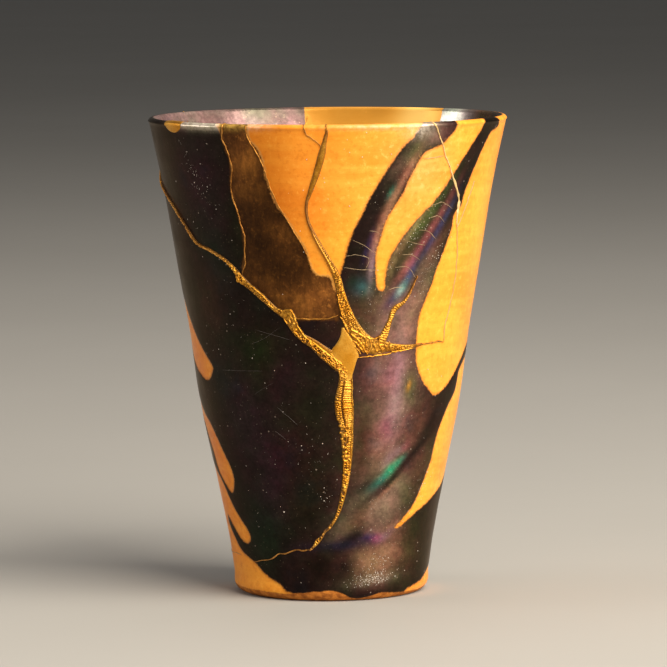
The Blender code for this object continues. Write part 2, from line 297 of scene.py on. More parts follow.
HAIR_SWAY = 0.00016
HAIR_SLIM = 0.74
INSIDE_BULK = 0.7
HAIR_SPACING = 0.0003
HAIR_SHOULDER = (0.80, 0.60)
HAIR_LIFT = 0.35
HAIR_TAPER = 0.0012
HAIR_END = 0.25
HAIR_WAVE = 0.0011
HAIR_SWELL = 0.0007
HAIR_LUMP = 0.0005
HAIR_SIDES = 5
HAIR_SWELL_SEED = 91
HAIR_LUMP_SEED = 92
HAIR_WAVE_SEED = 93
HAIR_LIFT_SEED = 94
HAIR_WAVE_ROWS = 40
HAIR_SWELL_ROWS = 30
HAIR_SWELLING = 1.1
HAIR_UPRIGHT_SWAY = 0.7
HAIR_UPRIGHT_LAG = 3
HAIR_LOW = 0.6
HAIR_LUMPINESS = 0.8
HAIR_GRAIN_LIMIT = 1.7

# The seams as they show inside: routes, and how much thinner they are there
INSIDE_ROUTES = [LEFT_ARM, STEM, UPPER_ARM, RIGHT_ARM, ANTLER]
INSIDE_BACK_ROUTES = [BACK_STEM, BACK_BRANCH]
INSIDE_WIDTH_SHARE = 0.40
INSIDE_LOWEST = 0.13

# The gold that fills the chip in the rim
CHIP_WIDTH = 0.0076
CHIP_DROP = 0.0026
CHIP_STAND = 0.0002
CHIP_FALL = 0.004
CHIP_ANGLE = -58.5
CHIP_GRID = 56
CHIP_REACH = 1.08
CHIP_GRID_SIDE = 1.25
CHIP_GRID_DROP = 1.35
CHIP_FLATNESS = 2.4
CHIP_SEED = 101
CHIP_LOW = 0.75
CHIP_LUMPINESS = 0.4
CHIP_LUMP_TURN = 1.3
CHIP_LUMP_ROWS = 160
CHIP_BULK = 0.85
CHIP_GRAIN = 0.3

# Where the orange glaze shows: closed outlines as (angle, share)
ORANGE_MAIN = [
    (-34.0, 1.04), (-35.2, 0.97), (-33.4, 0.912), (-34.5, 0.87), (-32.6, 0.8), (-31.9, 0.74),
    (-33.8, 0.692), (-31.1, 0.66), (-26.3, 0.64), (-20.5, 0.616), (-16.7, 0.6), (-12.6, 0.599),
    (-7.1, 0.599), (-0.1, 0.6), (3.0, 0.606), (4.6, 0.62), (4.2, 0.65), (3.6, 0.672), (4.4, 0.695),
    (5.4, 0.715), (7.3, 0.758), (10.7, 0.802), (14.3, 0.848), (18.8, 0.894), (23.1, 0.936), (26.6, 0.962),
    (28.9, 0.978), (28.8, 1.04),
]
ORANGE_BETWEEN = [
    (45.5, 1.04), (44.9, 0.988), (42.1, 0.968), (39.7, 0.954), (35.6, 0.945), (32.5, 0.934), (28.9, 0.895),
    (25.5, 0.849), (21.7, 0.814), (19.8, 0.786), (17.6, 0.739), (17.5, 0.699), (18.3, 0.664), (20.1, 0.655),
    (21.5, 0.66), (21.4, 0.686), (22.7, 0.721), (25.7, 0.749), (28.7, 0.775), (34.0, 0.807), (39.5, 0.836),
    (45.5, 0.878), (49.4, 0.91), (53.0, 0.937), (55.9, 0.961), (59.3, 0.987), (61.3, 1.04),
]
ORANGE_RIGHT = [
    (70.7, 1.04), (72.4, 0.985), (66.4, 0.972), (63.5, 0.955), (60.6, 0.924), (57.8, 0.891), (54.7, 0.848),
    (53.6, 0.82), (51.5, 0.815), (50.0, 0.8), (49.7, 0.774), (47.1, 0.734), (44.5, 0.698), (42.0, 0.655),
    (38.8, 0.614), (37.7, 0.585), (37.5, 0.548), (38.4, 0.504), (42.4, 0.463), (48.4, 0.435), (51.5, 0.427),
    (57.4, 0.436), (64.1, 0.457), (72.2, 0.488), (80, 0.512), (90, 0.535), (96, 0.575), (103, 0.63),
    (111, 0.7), (119, 0.775), (126, 0.86), (131, 0.94), (134, 1.04),
]
ORANGE_LOW_RIGHT = [
    (36.6, 0.152), (42.6, 0.174), (48.0, 0.199), (53.0, 0.241), (56.6, 0.283), (57.6, 0.323), (59.9, 0.362),
    (64.3, 0.398), (70.7, 0.431), (73.6, 0.474), (87.7, 0.5), (94, 0.503), (102, 0.535), (112, 0.59),
    (122, 0.665), (131, 0.75), (139, 0.84), (145, 0.93), (148, 1.04), (168, 1.04), (165, 0.92), (160, 0.82),
    (152, 0.71), (142, 0.61), (131, 0.52), (119, 0.43), (107, 0.35), (97, 0.295), (88, 0.25), (79.7, 0.231),
    (70.5, 0.214), (58.3, 0.192), (46.5, 0.169), (41.0, 0.155),
]
ORANGE_FOOT_RIGHT = [
    (49.0, 0.01), (54.0, 0.02), (59.0, 0.0235), (65.5, 0.0285), (71.7, 0.036), (79, 0.047), (88, 0.053),
    (97, 0.048), (106, 0.034), (114, 0.014), (118, -0.03), (84, -0.06), (51, -0.03),
]
ORANGE_LEFT_HIGH = [
    (-112, 1.04), (-109, 0.87), (-103, 0.76), (-95, 0.68), (-86, 0.63), (-79.9, 0.598), (-74.3, 0.567),
    (-69.7, 0.541), (-64.5, 0.516), (-58.9, 0.492), (-59.3, 0.476), (-64.5, 0.457), (-74.9, 0.471),
    (-83, 0.493), (-91, 0.525), (-101, 0.585), (-111, 0.67), (-120, 0.78), (-126, 0.9), (-128, 1.04),
]
ORANGE_LEFT_MIDDLE = [
    (-136, 1.04), (-134, 0.86), (-129, 0.75), (-121, 0.65), (-111, 0.565), (-100, 0.49), (-90, 0.43),
    (-79, 0.389), (-70.1, 0.362), (-64, 0.324), (-59.4, 0.292), (-56.3, 0.259), (-57.3, 0.236),
    (-61.2, 0.219), (-65.7, 0.233), (-73, 0.26), (-76, 0.299), (-81.6, 0.349), (-84, 0.362), (-92, 0.385),
    (-102, 0.43), (-113, 0.495), (-125, 0.575), (-136, 0.67), (-145, 0.78), (-150, 0.9), (-152, 1.04),
]
ORANGE_LEFT_LOW = [
    (-162, 1.04), (-160, 0.9), (-156, 0.78), (-149, 0.67), (-139, 0.57), (-127, 0.475), (-114, 0.395),
    (-101, 0.33), (-90, 0.285), (-80, 0.262), (-71.3, 0.24), (-62, 0.187), (-55.4, 0.159), (-51, 0.135),
    (-51.2, 0.123), (-54.6, 0.114), (-61.5, 0.125), (-67, 0.144), (-73.8, 0.166), (-75.5, 0.158),
    (-74.5, 0.146), (-68, 0.118), (-60.7, 0.094), (-49.8, 0.076), (-43.4, 0.057), (-37, 0.043),
    (-31.2, 0.034), (-27.5, 0.021), (-22.0, 0.012), (-16.0, -0.04), (-130, -0.04), (-130, 0.02),
    (-118, 0.035), (-108, 0.05), (-103, 0.08), (-104, 0.12), (-110, 0.17), (-121, 0.23), (-134, 0.3),
    (-148, 0.385), (-161, 0.49), (-171, 0.61), (-177, 0.74), (-180, 0.88), (-180, 1.04),
]
ORANGE = [
    ORANGE_MAIN, ORANGE_BETWEEN, ORANGE_RIGHT, ORANGE_LOW_RIGHT, ORANGE_FOOT_RIGHT, ORANGE_LEFT_HIGH,
    ORANGE_LEFT_MIDDLE, ORANGE_LEFT_LOW,
]

# The bronze brown wedge inside the main orange field
BRONZE = [
    (-35.2, 1.04), (-35.9, 0.97), (-33.8, 0.912), (-34.9, 0.87), (-33.0, 0.8), (-32.3, 0.74),
    (-34.2, 0.692), (-31.4, 0.66), (-26.6, 0.64), (-20.7, 0.614), (-16.8, 0.598), (-12.6, 0.597),
    (-7.1, 0.597), (-0.1, 0.597), (4.0, 0.6), (4.6, 0.64), (1.9, 0.664), (0.3, 0.687), (-3.8, 0.69),
    (-6.3, 0.705), (-7.7, 0.733), (-9.1, 0.751), (-12.8, 0.788), (-15.1, 0.811), (-18.4, 0.84),
    (-21.1, 0.889), (-21.5, 0.915), (-23.1, 0.952), (-25.8, 0.975), (-26.5, 1.04),
]

# How high the bare foot shows below the glaze: angle, share
FOOT_BAND = [
    (-40, 0.016), (-28.7, 0.016), (-12.7, 0.021), (-0.9, 0.024), (4.9, 0.02), (11.2, 0.008), (17.7, 0.006),
    (26.8, 0.013), (33.5, 0.015), (41.4, 0.012), (54.5, 0.01), (65.2, 0.009), (78, 0.012), (90, 0.014),
    (105, 0.013), (125, 0.018), (150, 0.024), (175, 0.018), (200, 0.022), (230, 0.02), (320, 0.016),
]

# Colours of the lustre in the dark glaze, its ground first, and of the sheen and highlights painted over it
NIGHT = (0.0115, 0.0075, 0.0062)
PLUM = (0.034, 0.010, 0.022)
MOSS = (0.013, 0.022, 0.005)
PINE = (0.005, 0.019, 0.011)
OLIVE = (0.085, 0.085, 0.030)
BROWN = (0.085, 0.046, 0.024)
MAUVE_LUSTRE_AND_SHEEN = (0.24, 0.128, 0.100)
ROSE = (0.28, 0.095, 0.110)
RED = (0.30, 0.080, 0.085)
MAGENTA = (0.28, 0.060, 0.130)
LILAC = (0.30, 0.180, 0.205)
BLUE = (0.050, 0.055, 0.160)
TEAL = (0.030, 0.120, 0.130)
EMERALD = (0.022, 0.350, 0.185)
ICE_HIGHLIGHT = (0.36, 0.50, 0.46)
PEACH = (0.27, 0.150, 0.088)
HIGHLIGHT_CREAM = (0.72, 0.58, 0.42)
AMBER = (0.55, 0.25, 0.03)
SEA = (0.015, 0.20, 0.15)
INDIGO = (0.022, 0.018, 0.065)
BLUSH = (0.36, 0.165, 0.100)
TAN = (0.32, 0.195, 0.120)
UMBER = (0.045, 0.028, 0.012)
FLECKED = (0.22, 0.160, 0.070)

# Lustre spots: angle, share, half length and half width in millimetres, tilt in degrees, colour, strength.
# Some are painted sheen and highlights
LUSTRE_AND_PAINTED_LIGHT = [
    (-50, 0.88, 14, 8, 90, PLUM, 0.32), (-32, 0.78, 10, 4, 90, MOSS, 0.4),
    (-32.3, 0.5, 8, 9, 90, MOSS, 0.45), (-50.5, 0.452, 6, 6, 90, PINE, 0.5),
    (-40, 0.4, 9, 6, 90, PLUM, 0.42), (-34.7, 0.342, 7, 7, 90, PLUM, 0.35),
    (-37.8, 0.159, 8, 6, 60, PINE, 0.6), (-15, 0.35, 15, 8, 90, BROWN, 0.1),
    (-24, 0.66, 6, 5, 120, PINE, 0.5), (-27, 0.535, 5, 4, 90, MOSS, 0.35),
    (-20, 0.47, 7, 4, 70, PLUM, 0.38), (-30, 0.25, 9, 5, 80, PLUM, 0.5), (-12, 0.22, 8, 5, 60, MOSS, 0.4),
    (-46, 0.72, 8, 4, 110, PINE, 0.5), (-54, 0.62, 9, 5, 90, UMBER, 0.35),
    # Painted highlights along the dark lip
    (-45.5, 1.0, 6.6, 1.3, 0, HIGHLIGHT_CREAM, 1.0), (33, 1.0, 3.0, 0.8, 0, HIGHLIGHT_CREAM, 0.6),
    # Mauve and lilac spots from about 23 to 30 degrees, shares 0.3 to 0.6, paint the key light's sheen with
    # the lustre's hues
    (27, 0.4, 19, 7.5, 88, MAUVE_LUSTRE_AND_SHEEN, 0.9), (13, 0.33, 12, 4, 88, BROWN, 0.6), (16, 0.6, 7, 7, 90, BROWN, 0.8),
    (26, 0.59, 7, 4.5, 90, MAUVE_LUSTRE_AND_SHEEN, 0.9), (33.0, 0.6, 9, 1.6, 80, ROSE, 0.3),
    (34.0, 0.585, 8, 2.6, 84, TAN, 0.5), (37.5, 0.64, 8, 1.6, 66, TAN, 0.6),
    (23.0, 0.51, 4, 2.6, 90, TAN, 0.35), (43, 0.36, 9, 4, 60, BROWN, 0.6),
    (30.0, 0.46, 11, 2.0, 90, LILAC, 0.65), (27.5, 0.38, 8, 1.6, 90, LILAC, 0.45),
    (25.5, 0.475, 4, 2.0, 90, ROSE, 0.5), (36.0, 0.455, 4, 2.4, 90, OLIVE, 0.75),
    (35.4, 0.452, 1.2, 0.5, 70, AMBER, 0.8), (25.5, 0.369, 3, 2.0, 90, MAGENTA, 0.6),
    (25, 0.31, 8, 4, 90, PEACH, 0.38), (150, 0.42, 22, 9, 80, (0.09, 0.045, 0.055), 0.5),
    (196, 0.28, 16, 8, 100, (0.03, 0.06, 0.05), 0.5), (-128, 0.2, 12, 7, 70, (0.08, 0.05, 0.03), 0.5),
    (14.4, 0.345, 9, 2.2, 88, UMBER, 0.65), (40.6, 0.385, 6, 2.4, 70, UMBER, 0.4),
    (36.8, 0.323, 1.7, 0.9, 50, (0.36, 0.11, 0.12), 0.75), (33.0, 0.315, 1.6, 0.8, 40, LILAC, 0.6),
    # Pale spots near 22 to 24 degrees low on the wall carry the painted sheen down towards the foot, with the
    # glaze's peach
    (24, 0.195, 10, 5.0, 48, (0.36, 0.235, 0.165), 0.95), (16, 0.19, 4, 2.0, 50, BROWN, 0.8),
    (14, 0.163, 3.6, 2.0, 30, (0.17, 0.078, 0.042), 0.7), (50, 0.27, 9, 5, 60, BROWN, 0.8),
    (46, 0.1, 9, 7, 90, UMBER, 0.7), (22, 0.088, 8.0, 4.6, 4, (0.3, 0.148, 0.088), 0.92),
    # The faint cream spot at the foot is a painted highlight
    (33, 0.11, 6, 2.6, 70, PEACH, 0.6), (26, 0.045, 6, 1.3, 5, HIGHLIGHT_CREAM, 0.14),
    (33, 0.152, 4.0, 0.7, 32, PEACH, 0.6), (19.5, 0.134, 4.5, 1.3, -4, INDIGO, 0.9),
    (26.0, 0.131, 1.5, 1.0, 20, MAGENTA, 0.75), (31.0, 0.138, 2.5, 0.9, 32, LILAC, 0.5),
    (10, 0.13, 8, 2.2, 40, NIGHT, 0.95), (5, 0.119, 7.5, 1.3, 3, (0.014, 0.013, 0.036), 0.9),
    (7, 0.075, 5, 4, 60, NIGHT, 0.95), (-7, 0.076, 4.5, 4.5, 0, (0.006, 0.0045, 0.003), 0.95),
    (19, 0.245, 5, 2.0, 20, PINE, 0.8), (24.0, 0.252, 3.4, 1.1, 45, SEA, 0.5),
    (27.0, 0.262, 2.6, 0.9, 52, SEA, 0.75), (30.0, 0.277, 1.6, 1.15, 58, EMERALD, 1.0),
    (33.8, 0.29, 1.9, 0.95, 48, EMERALD, 0.8), (37.0, 0.301, 1.4, 0.7, 45, SEA, 0.45),
    (28.4, 0.301, 2.4, 1.0, 50, LILAC, 0.6), (43, 0.31, 9, 1.2, 43, NIGHT, 0.95),
    (32, 0.258, 6, 1.0, 46, NIGHT, 0.92), (21, 0.222, 6, 1.2, 32, NIGHT, 0.7),
    (29, 0.233, 5.0, 0.35, 42, BLUSH, 0.6), (51, 0.37, 7, 1.6, 58, NIGHT, 0.9),
    (35.5, 0.97, 5.0, 2.6, 20, MAUVE_LUSTRE_AND_SHEEN, 0.75), (30, 0.94, 4.0, 1.4, 60, OLIVE, 0.6),
    (24.8, 0.918, 4.6, 1.4, 54, (0.15, 0.105, 0.065), 0.65), (28.4, 0.912, 4.0, 1.0, 62, BLUSH, 0.75),
    (24.0, 0.862, 6.0, 0.85, 62, BLUSH, 0.85), (22.0, 0.86, 2.0, 0.5, 60, SEA, 0.45),
    (20.4, 0.808, 4.4, 0.8, 66, BLUSH, 0.75), (17.4, 0.762, 4.0, 0.8, 74, BLUSH, 0.8),
    (15.8, 0.705, 5.0, 0.8, 88, LILAC, 0.8), (14.2, 0.745, 4.0, 0.6, 72, INDIGO, 0.6),
    (12.6, 0.664, 2.4, 2.0, 20, TEAL, 0.62), (8.5, 0.672, 2.0, 1.6, 60, PINE, 0.6),
    (36, 0.8, 13, 1.7, 52, OLIVE, 0.8), (31.4, 0.782, 11, 0.8, 54, FLECKED, 0.75),
    (23.5, 0.7, 5, 0.9, 72, FLECKED, 0.5), (30.5, 0.715, 5, 1.6, 62, OLIVE, 0.6),
    (38.8, 0.772, 11, 0.9, 55, RED, 0.85), (42.0, 0.77, 9, 0.8, 56, BLUE, 0.62),
    (37.5, 0.69, 8, 1.8, 62, MAUVE_LUSTRE_AND_SHEEN, 0.8), (44.5, 0.745, 8, 1.0, 58, BROWN, 0.8),
    (29.8, 0.7, 3.5, 1.0, 62, RED, 0.7), (33.0, 0.718, 3.0, 0.8, 62, MAGENTA, 0.5),
    (31.0, 0.68, 3.2, 0.9, 62, BLUE, 0.8), (25.6, 0.64, 3.6, 1.2, 50, INDIGO, 0.8),
    # The ice spot is a painted teal-white highlight
    (28.4, 0.657, 1.8, 0.8, 58, ICE_HIGHLIGHT, 0.85), (29.6, 0.664, 1.4, 0.6, 58, TEAL, 0.6),
]

# How the orange deepens and pales from place to place, as shares of red, green and blue: partly the glaze's
# own depth, partly painted shade on the left and painted sheen on the right
ORANGE_TONE_AND_PAINTED_LIGHT = [
    (-21, 0.86, 24, 11, 90, (0.6, 0.44, 0.23), 0.95), (-3, 0.9, 14, 9, 90, (0.92, 0.8, 0.8), 0.8),
    (30, 0.9, 13, 11, 90, (1.0, 1.09, 2.8), 0.9), (29, 0.8, 8, 5, 60, (1.0, 0.92, 1.35), 0.8),
    (13, 0.9, 7, 7, 0, (1.0, 1.08, 1.35), 0.8), (44, 0.42, 12, 9, 90, (1.0, 0.9, 1.1), 0.8),
    (-72, 0.35, 50, 9, 90, (0.85, 0.67, 0.34), 0.95),
]

# Where the lip is painted pale, as lustre spots without a colour: worn thin glaze over the bronze, wear and a
# painted highlight over the orange, and a painted highlight over the dark glaze
LIP_WEAR_AND_HIGHLIGHT = [
    (8, 0.996, 9, 0.55, 0, 0.16), (21, 0.994, 9, 0.65, 0, 0.32), (30, 0.985, 3.5, 1.6, 0, 0.45),
    (-30, 0.998, 6.5, 1.0, 0, 0.9), (-47, 0.999, 6.5, 0.9, 0, 1.0),
]

# How light the bronze is from place to place
BRONZE_DARK = 0.62
BRONZE_LIGHT = [
    (-28.5, 0.945, 9, 5, 75, 1.5), (-3.0, 0.64, 6, 5, 30, 2.1), (-19, 0.65, 8, 3, 160, 0.5),
    (-16, 0.765, 6, 2, 125, 0.4),
]

# Pale cracks and scratches in the glaze, as (angle, share). Their half widths are in millimetres
CRACKS = [
    [(39.3, 0.828), (43.3, 0.832), (48.8, 0.817)], [(38.2, 0.802), (42.2, 0.804), (45.7, 0.79)],
    [(33.8, 0.778), (37.7, 0.774), (42.2, 0.757)], [(29.4, 0.756), (32.6, 0.752), (37.1, 0.746)],
    [(27.7, 0.728), (31.5, 0.727), (35.5, 0.715)], [(25.0, 0.703), (30.3, 0.701), (34.6, 0.676)],
    [(23.1, 0.656), (26.0, 0.661), (28.8, 0.66)], [(5.5, 0.706), (11.5, 0.7), (17.7, 0.699)],
    [(8.5, 0.762), (13.1, 0.751), (16.4, 0.735)], [(12.3, 0.731), (14.7, 0.72), (13.4, 0.7)],
    [(5.9, 0.729), (10.4, 0.731), (15.1, 0.723)], [(14.3, 0.78), (16.4, 0.779), (18.4, 0.774)],
    [(52.9, 0.776), (55.4, 0.8), (58.5, 0.845), (60.0, 0.87)],
    [(32.9, 0.925), (36.9, 0.926), (41.1, 0.929)],
    [(52.6, 0.782), (53.9, 0.759), (55.8, 0.704), (56.1, 0.64), (54.8, 0.604), (53.5, 0.565), (54.1, 0.54)],
    [(-64.0, 0.086), (-70.9, 0.087), (-79.0, 0.085), (-87.7, 0.084), (-94.0, 0.086)],
]
SCRATCHES = [
    [(-33.8, 0.542), (-26.5, 0.558), (-19.7, 0.581)], [(-30.8, 0.574), (-24.0, 0.566), (-15.9, 0.555)],
    [(-33.5, 0.439), (-28.5, 0.453), (-24.0, 0.465)], [(-23.1, 0.413), (-18.4, 0.394), (-14.4, 0.377)],
    [(-25.3, 0.363), (-22.5, 0.353), (-20.3, 0.345)], [(-51.0, 0.484), (-40.3, 0.486), (-28.9, 0.488)],
]
CRACK_WIDTH = 0.048
SCRATCH_WIDTH = 0.024
THREAD_STAND = 0.00002
THREAD_SWAY = 0.00018

# Pale crystals and small bubbles in the glaze: angle, share, radius in millimetres
CRYSTALS = [
    (-33.4, 0.514, 0.24), (-25.0, 0.19, 0.32), (-3.4, 0.216, 0.24), (-38.0, 0.557, 0.2),
    (-41.4, 0.581, 0.18), (-37.0, 0.759, 0.2), (-42.6, 0.822, 0.24), (-42.4, 0.958, 0.22),
    (-52.9, 0.939, 0.22), (-51.1, 0.891, 0.24), (-51.8, 0.875, 0.28), (-49.6, 0.862, 0.3),
    (-47.8, 0.854, 0.24), (-45.3, 0.868, 0.28), (-45.9, 0.858, 0.26), (-43.8, 0.872, 0.22),
    (-47.0, 0.915, 0.22), (-64.1, 0.874, 0.26), (-60.2, 0.796, 0.2), (-56.3, 0.792, 0.22),
    (-53.7, 0.72, 0.28), (-20.7, 0.404, 0.2), (-15.4, 0.294, 0.18), (-44.7, 0.283, 0.2),
    (-27.1, 0.292, 0.16), (58.6, 0.093, 0.18), (-18.0, 0.04, 0.16), (-28.2, 0.463, 0.18),
    (-13.1, 0.324, 0.22), (-13.3, 0.333, 0.24), (-3.5, 0.338, 0.26), (-1.2, 0.316, 0.28),
    (-23.4, 0.49, 0.18), (-9.9, 0.507, 0.18), (-52.1, 0.527, 0.2), (-42.3, 0.604, 0.18),
    (-19.4, 0.341, 0.18), (-10.4, 0.358, 0.18), (3.1, 0.261, 0.24), (-13.5, 0.545, 0.18),
]

# Patches of finer crystals: angle, share, half length and half width in millimetres, tilt, how many, how big
CRYSTAL_PATCHES = [
    (-52, 0.905, 7.5, 2.6, 110, 46, 1.0), (-50, 0.83, 12, 7, 90, 16, 0.9), (-8, 0.31, 8, 5, 100, 28, 1.0),
    (-20, 0.45, 22, 12, 90, 20, 0.8), (-3, 0.225, 3, 2, 60, 12, 1.3), (25, 0.047, 6, 1.7, 6, 150, 1.25),
    (24, 0.04, 5.5, 0.8, 6, 60, 1.5), (24, 0.075, 7, 3, 5, 50, 1.1), (30, 0.3, 26, 10, 80, 110, 0.9),
    (36, 0.79, 13, 2.4, 52, 66, 1.1), (41, 0.7, 9, 2.6, 60, 60, 1.0), (50, 0.22, 9, 3, 60, 40, 1.0),
    (16, 0.62, 6, 5, 90, 30, 1.0), (8, 0.88, 14, 14, 0, 26, 1.0), (-38, 0.6, 14, 9, 110, 18, 0.7),
    (-33, 0.4, 16, 9, 90, 14, 0.7), (-30, 0.2, 12, 9, 70, 12, 0.7), (150, 0.45, 45, 45, 90, 90, 1.0),
    (-110, 0.4, 40, 30, 90, 70, 1.0),
]
PATCH_CRYSTAL = (0.05, 0.16)
PATCH_SPREAD = 1.6
PATCH_CROWDING = 0.5
PATCH_LOWEST = 0.03
PATCH_HIGHEST = 0.985
CRYSTAL_SIDES = 6
CRYSTAL_STAND = 0.00004
CRYSTAL_SEED = 5

# How far below the glaze a crystal's edge and its root lie, as times its stand
CRYSTAL_EDGE = 3
CRYSTAL_ROOT = 4

# The inside: pearl lustre, a painted highlight on the dark glaze near 130 degrees, and an ochre field between
# two angles
OCHRE_FROM = 136.5
OCHRE_TO = 188
OCHRE_MIDDLE = 148
OCHRE_TOP = 1.08
OCHRE_DEPTH = 2.1
OCHRE_STRAIGHT = (1.06, 1.25)
OCHRE_NARROWS = 0.45
OCHRE_DRIFT = 9
OCHRE_SWAY = 2.2
OCHRE_WAVE = 9
INSIDE_LUSTRE_AND_HIGHLIGHT = [
    (244, 1.07, 36, 60, 0, (0.3, 0.215, 0.185), 1.0), (252, 1.05, 9, 5, 0, (0.14, 0.08, 0.085), 0.85),
    (204, 1.06, 14, 50, 0, (0.105, 0.076, 0.064), 0.9), (228, 1.05, 6, 3, 0, (0.27, 0.15, 0.14), 0.8),
    (213, 1.05, 3, 3, 0, (0.22, 0.12, 0.13), 0.7), (207, 1.045, 2.4, 1.6, 0, (0.34, 0.27, 0.26), 0.7),
    (200, 1.05, 2, 3, 0, (0.13, 0.115, 0.085), 0.6), (193, 1.05, 2, 3, 0, (0.2, 0.125, 0.12), 0.8),
    (238, 1.06, 5, 3, 0, (0.2, 0.22, 0.16), 0.5), (282, 1.04, 7, 3, 0, (0.12, 0.06, 0.08), 0.8),
    # The near-white spot at 130.5 degrees is a painted highlight
    (115, 1.06, 11, 30, 0, (0.105, 0.062, 0.032), 0.9), (130.5, 1.06, 5.8, 6, 0, (0.94, 0.89, 0.84), 1.0),
    (10, 1.3, 30, 40, 90, (0.1, 0.06, 0.07), 0.8), (60, 1.6, 20, 25, 90, (0.04, 0.07, 0.065), 0.6),
]

# How light the ochre inside is from place to place: painted light and shade, brightest and palest next to the
# painted highlight
OCHRE_DARK = 0.70
OCHRE_PAINTED_LIGHT = [
    (182, 1.06, 5, 40, 0, 0.22), (168, 1.07, 6, 30, 0, 0.25), (158, 1.045, 9, 1.6, 0, 0.35),
    (147, 1.06, 7, 30, 0, 1.35),
]

# Shading: how strongly and how warmly the glaze mirrors
GLAZE_SPECULAR = 0.24
GLAZE_TINT = (0.76, 0.62, 0.47)

# How metallic the surfaces are
DARK_METAL = 0.62
OCHRE_METAL = 0.35
BRONZE_METAL = 0.40
INSIDE_METAL_LOSS = 0.35
THIN_GOLD_METAL = 0.75
HOLLOW_GOLD_METAL = 0.45

# How rough they are: one value, or the least and what a pattern adds to it
ORANGE_ROUGH = 0.34
BRONZE_ROUGH = 0.44
CLAY_ROUGH = 0.75
INSIDE_ROUGH = 0.26
DARK_ROUGH = (0.22, 0.20)
CRACK_ROUGH = (0.45, 0.2)
CRYSTAL_ROUGH = (0.2, 0.3)
GOLD_ROUGH = (0.36, 0.24)
FLOOR_ROUGH = (0.62, 0.1)

# Heights of what is relief in the shader alone, in metres
GLAZE_LUMPS = 0.000035
GLAZE_STREAKS = 0.000010
GLAZE_SPECKS = 0.00002
GLAZE_THICKNESS = 0.00005
CLAY_GRAIN = 0.00006
CRACK_GRAIN = 0.00001
CRYSTAL_GRAIN = 0.00002
GOLD_GRAIN = 0.00009
GOLD_DUST_GRAIN = 0.000018
GOLD_LUMPS = 0.00004

# Edges of the glazes, in metres: fine and coarse unevenness, and softness
RAGGED = {
    "orange_gap": (0.00075, 0.0005, 0.00024),
    "bronze_gap": (0.001, 0.0007, 0.00045),
    "clay_gap": (0.0004, 0.0008, 0.0002),
    "ochre_gap": (0.0002, 0.0003, 0.00012),
}

# What the values of the wall are on the crystals and cracks, where they aren't 0
UNPAINTED = {"bronze_gap": -1, "clay_gap": -1, "ochre_gap": -1, "orange_tone_and_painted_light": 1}

# Tones of the glazes, of the crystals and cracks, and of the gold
WHITE = (1.0, 1.0, 1.0)
ORANGE_GROUND = ((0.88, 0.335, 0.03), (0.80, 0.245, 0.017))
ORANGE_BAND = (0.94, 0.42, 0.05)
ORANGE_STREAK = (0.66, 0.185, 0.012)
ORANGE_DEEP = (0.64, 0.18, 0.01)
ORANGE_BRIGHT = (0.98, 0.50, 0.085)
ORANGE_HALO = (0.36, 0.12, 0.018)
ORANGE_PIT = (0.20, 0.05, 0.01)
BRONZE_STOPS = [(0.34, (0.042, 0.014, 0.003)), (0.50, (0.068, 0.0235, 0.0045)), (0.68, (0.135, 0.05, 0.0085))]
BRONZE_DUST = (0.22, 0.085, 0.015)
BRONZE_FRAY = (0.58, 0.29, 0.075)
HUE_STOPS = [
    (0.30, (0.7, 0.8, 1.5)), (0.43, (1.35, 0.75, 1.0)), (0.54, (1.0, 1.0, 0.95)), (0.68, (0.7, 1.35, 0.8)),
]
FINE_SPECK = (0.46, 0.35, 0.22)
COARSE_SPECK = (0.30, 0.23, 0.18)
EDGE_BROWN = (0.13, 0.055, 0.022)
EDGE_FLECK = (0.56, 0.30, 0.10)
OCHRE_GROUND = ((0.48, 0.19, 0.018), (0.66, 0.32, 0.05))
OCHRE_PALE = (0.54, 0.33, 0.085)
CLAY_STOPS = [(0.35, (0.26, 0.075, 0.012)), (0.65, (0.55, 0.19, 0.03))]
DARK_LIP_HIGHLIGHT = (0.92, 0.80, 0.66)
ORANGE_LIP_WEAR_AND_HIGHLIGHT = (0.84, 0.60, 0.40)
WORN_BRONZE = (0.58, 0.34, 0.07)
SCRATCH_TONE = (0.06, 0.045, 0.038)
CRACK_TONES = ((0.20, 0.13, 0.07), (0.52, 0.37, 0.20))
CRYSTAL_TONES = ((0.42, 0.34, 0.28), (0.72, 0.66, 0.58))
GOLD_DULL = ((0.36, 0.14, 0.022), (0.50, 0.235, 0.05))
GOLD_RICH = ((0.63, 0.275, 0.022), (0.76, 0.4, 0.062))
GOLD_PALE = (0.86, 0.60, 0.27)
GOLD_HOLLOW_SHADE_AND_PATINA = (0.15, 0.14, 0.16)
GOLD_SLOPE_SHADE_AND_PATINA = (0.55, 0.50, 0.48)
GOLD_DUST = (0.38, 0.13, 0.012)

# Studio
FLOOR_SIZE = 24.0
WORLD_STRENGTH = 0.11
AIR_COLOUR = (1.0, 0.985, 0.96)
FLOOR_TONES = ((0.35, 0.335, 0.31), (0.39, 0.375, 0.35))
LIGHTS = [
    ("key_softbox", (47, 36, 1.15), (1.1, 1.2), 40.0, (1.0, 0.92, 0.80)),
    ("left_softbox", (-94, 17, 1.3), (0.70, 0.50), 5.4, (1.0, 0.95, 0.90)),
    ("top_softbox", (170, 74, 1.3), (0.9, 0.9), 4.0, (1.0, 0.97, 0.93)),
]
LIGHT_TARGET = (0.0, 0.0, 0.06)

# The camera: distance and height in metres, turns in degrees
CAMERA_PLACE = (0.0, -1.2, 0.1763)
CAMERA_PITCH = 5.433
CAMERA_YAW = 0.0479
CAMERA_ROLL = 0.495
CAMERA_LENS = 268.86
CLIP_RANGE = (0.05, 40.0)
SENSOR_WIDTH = 36.0


# Curves and places

def eased(t):
    return t * t * (3 - 2 * t)


def smooth_step(low, high, value):
    return eased(np.clip((value - low) / (high - low), 0, 1))


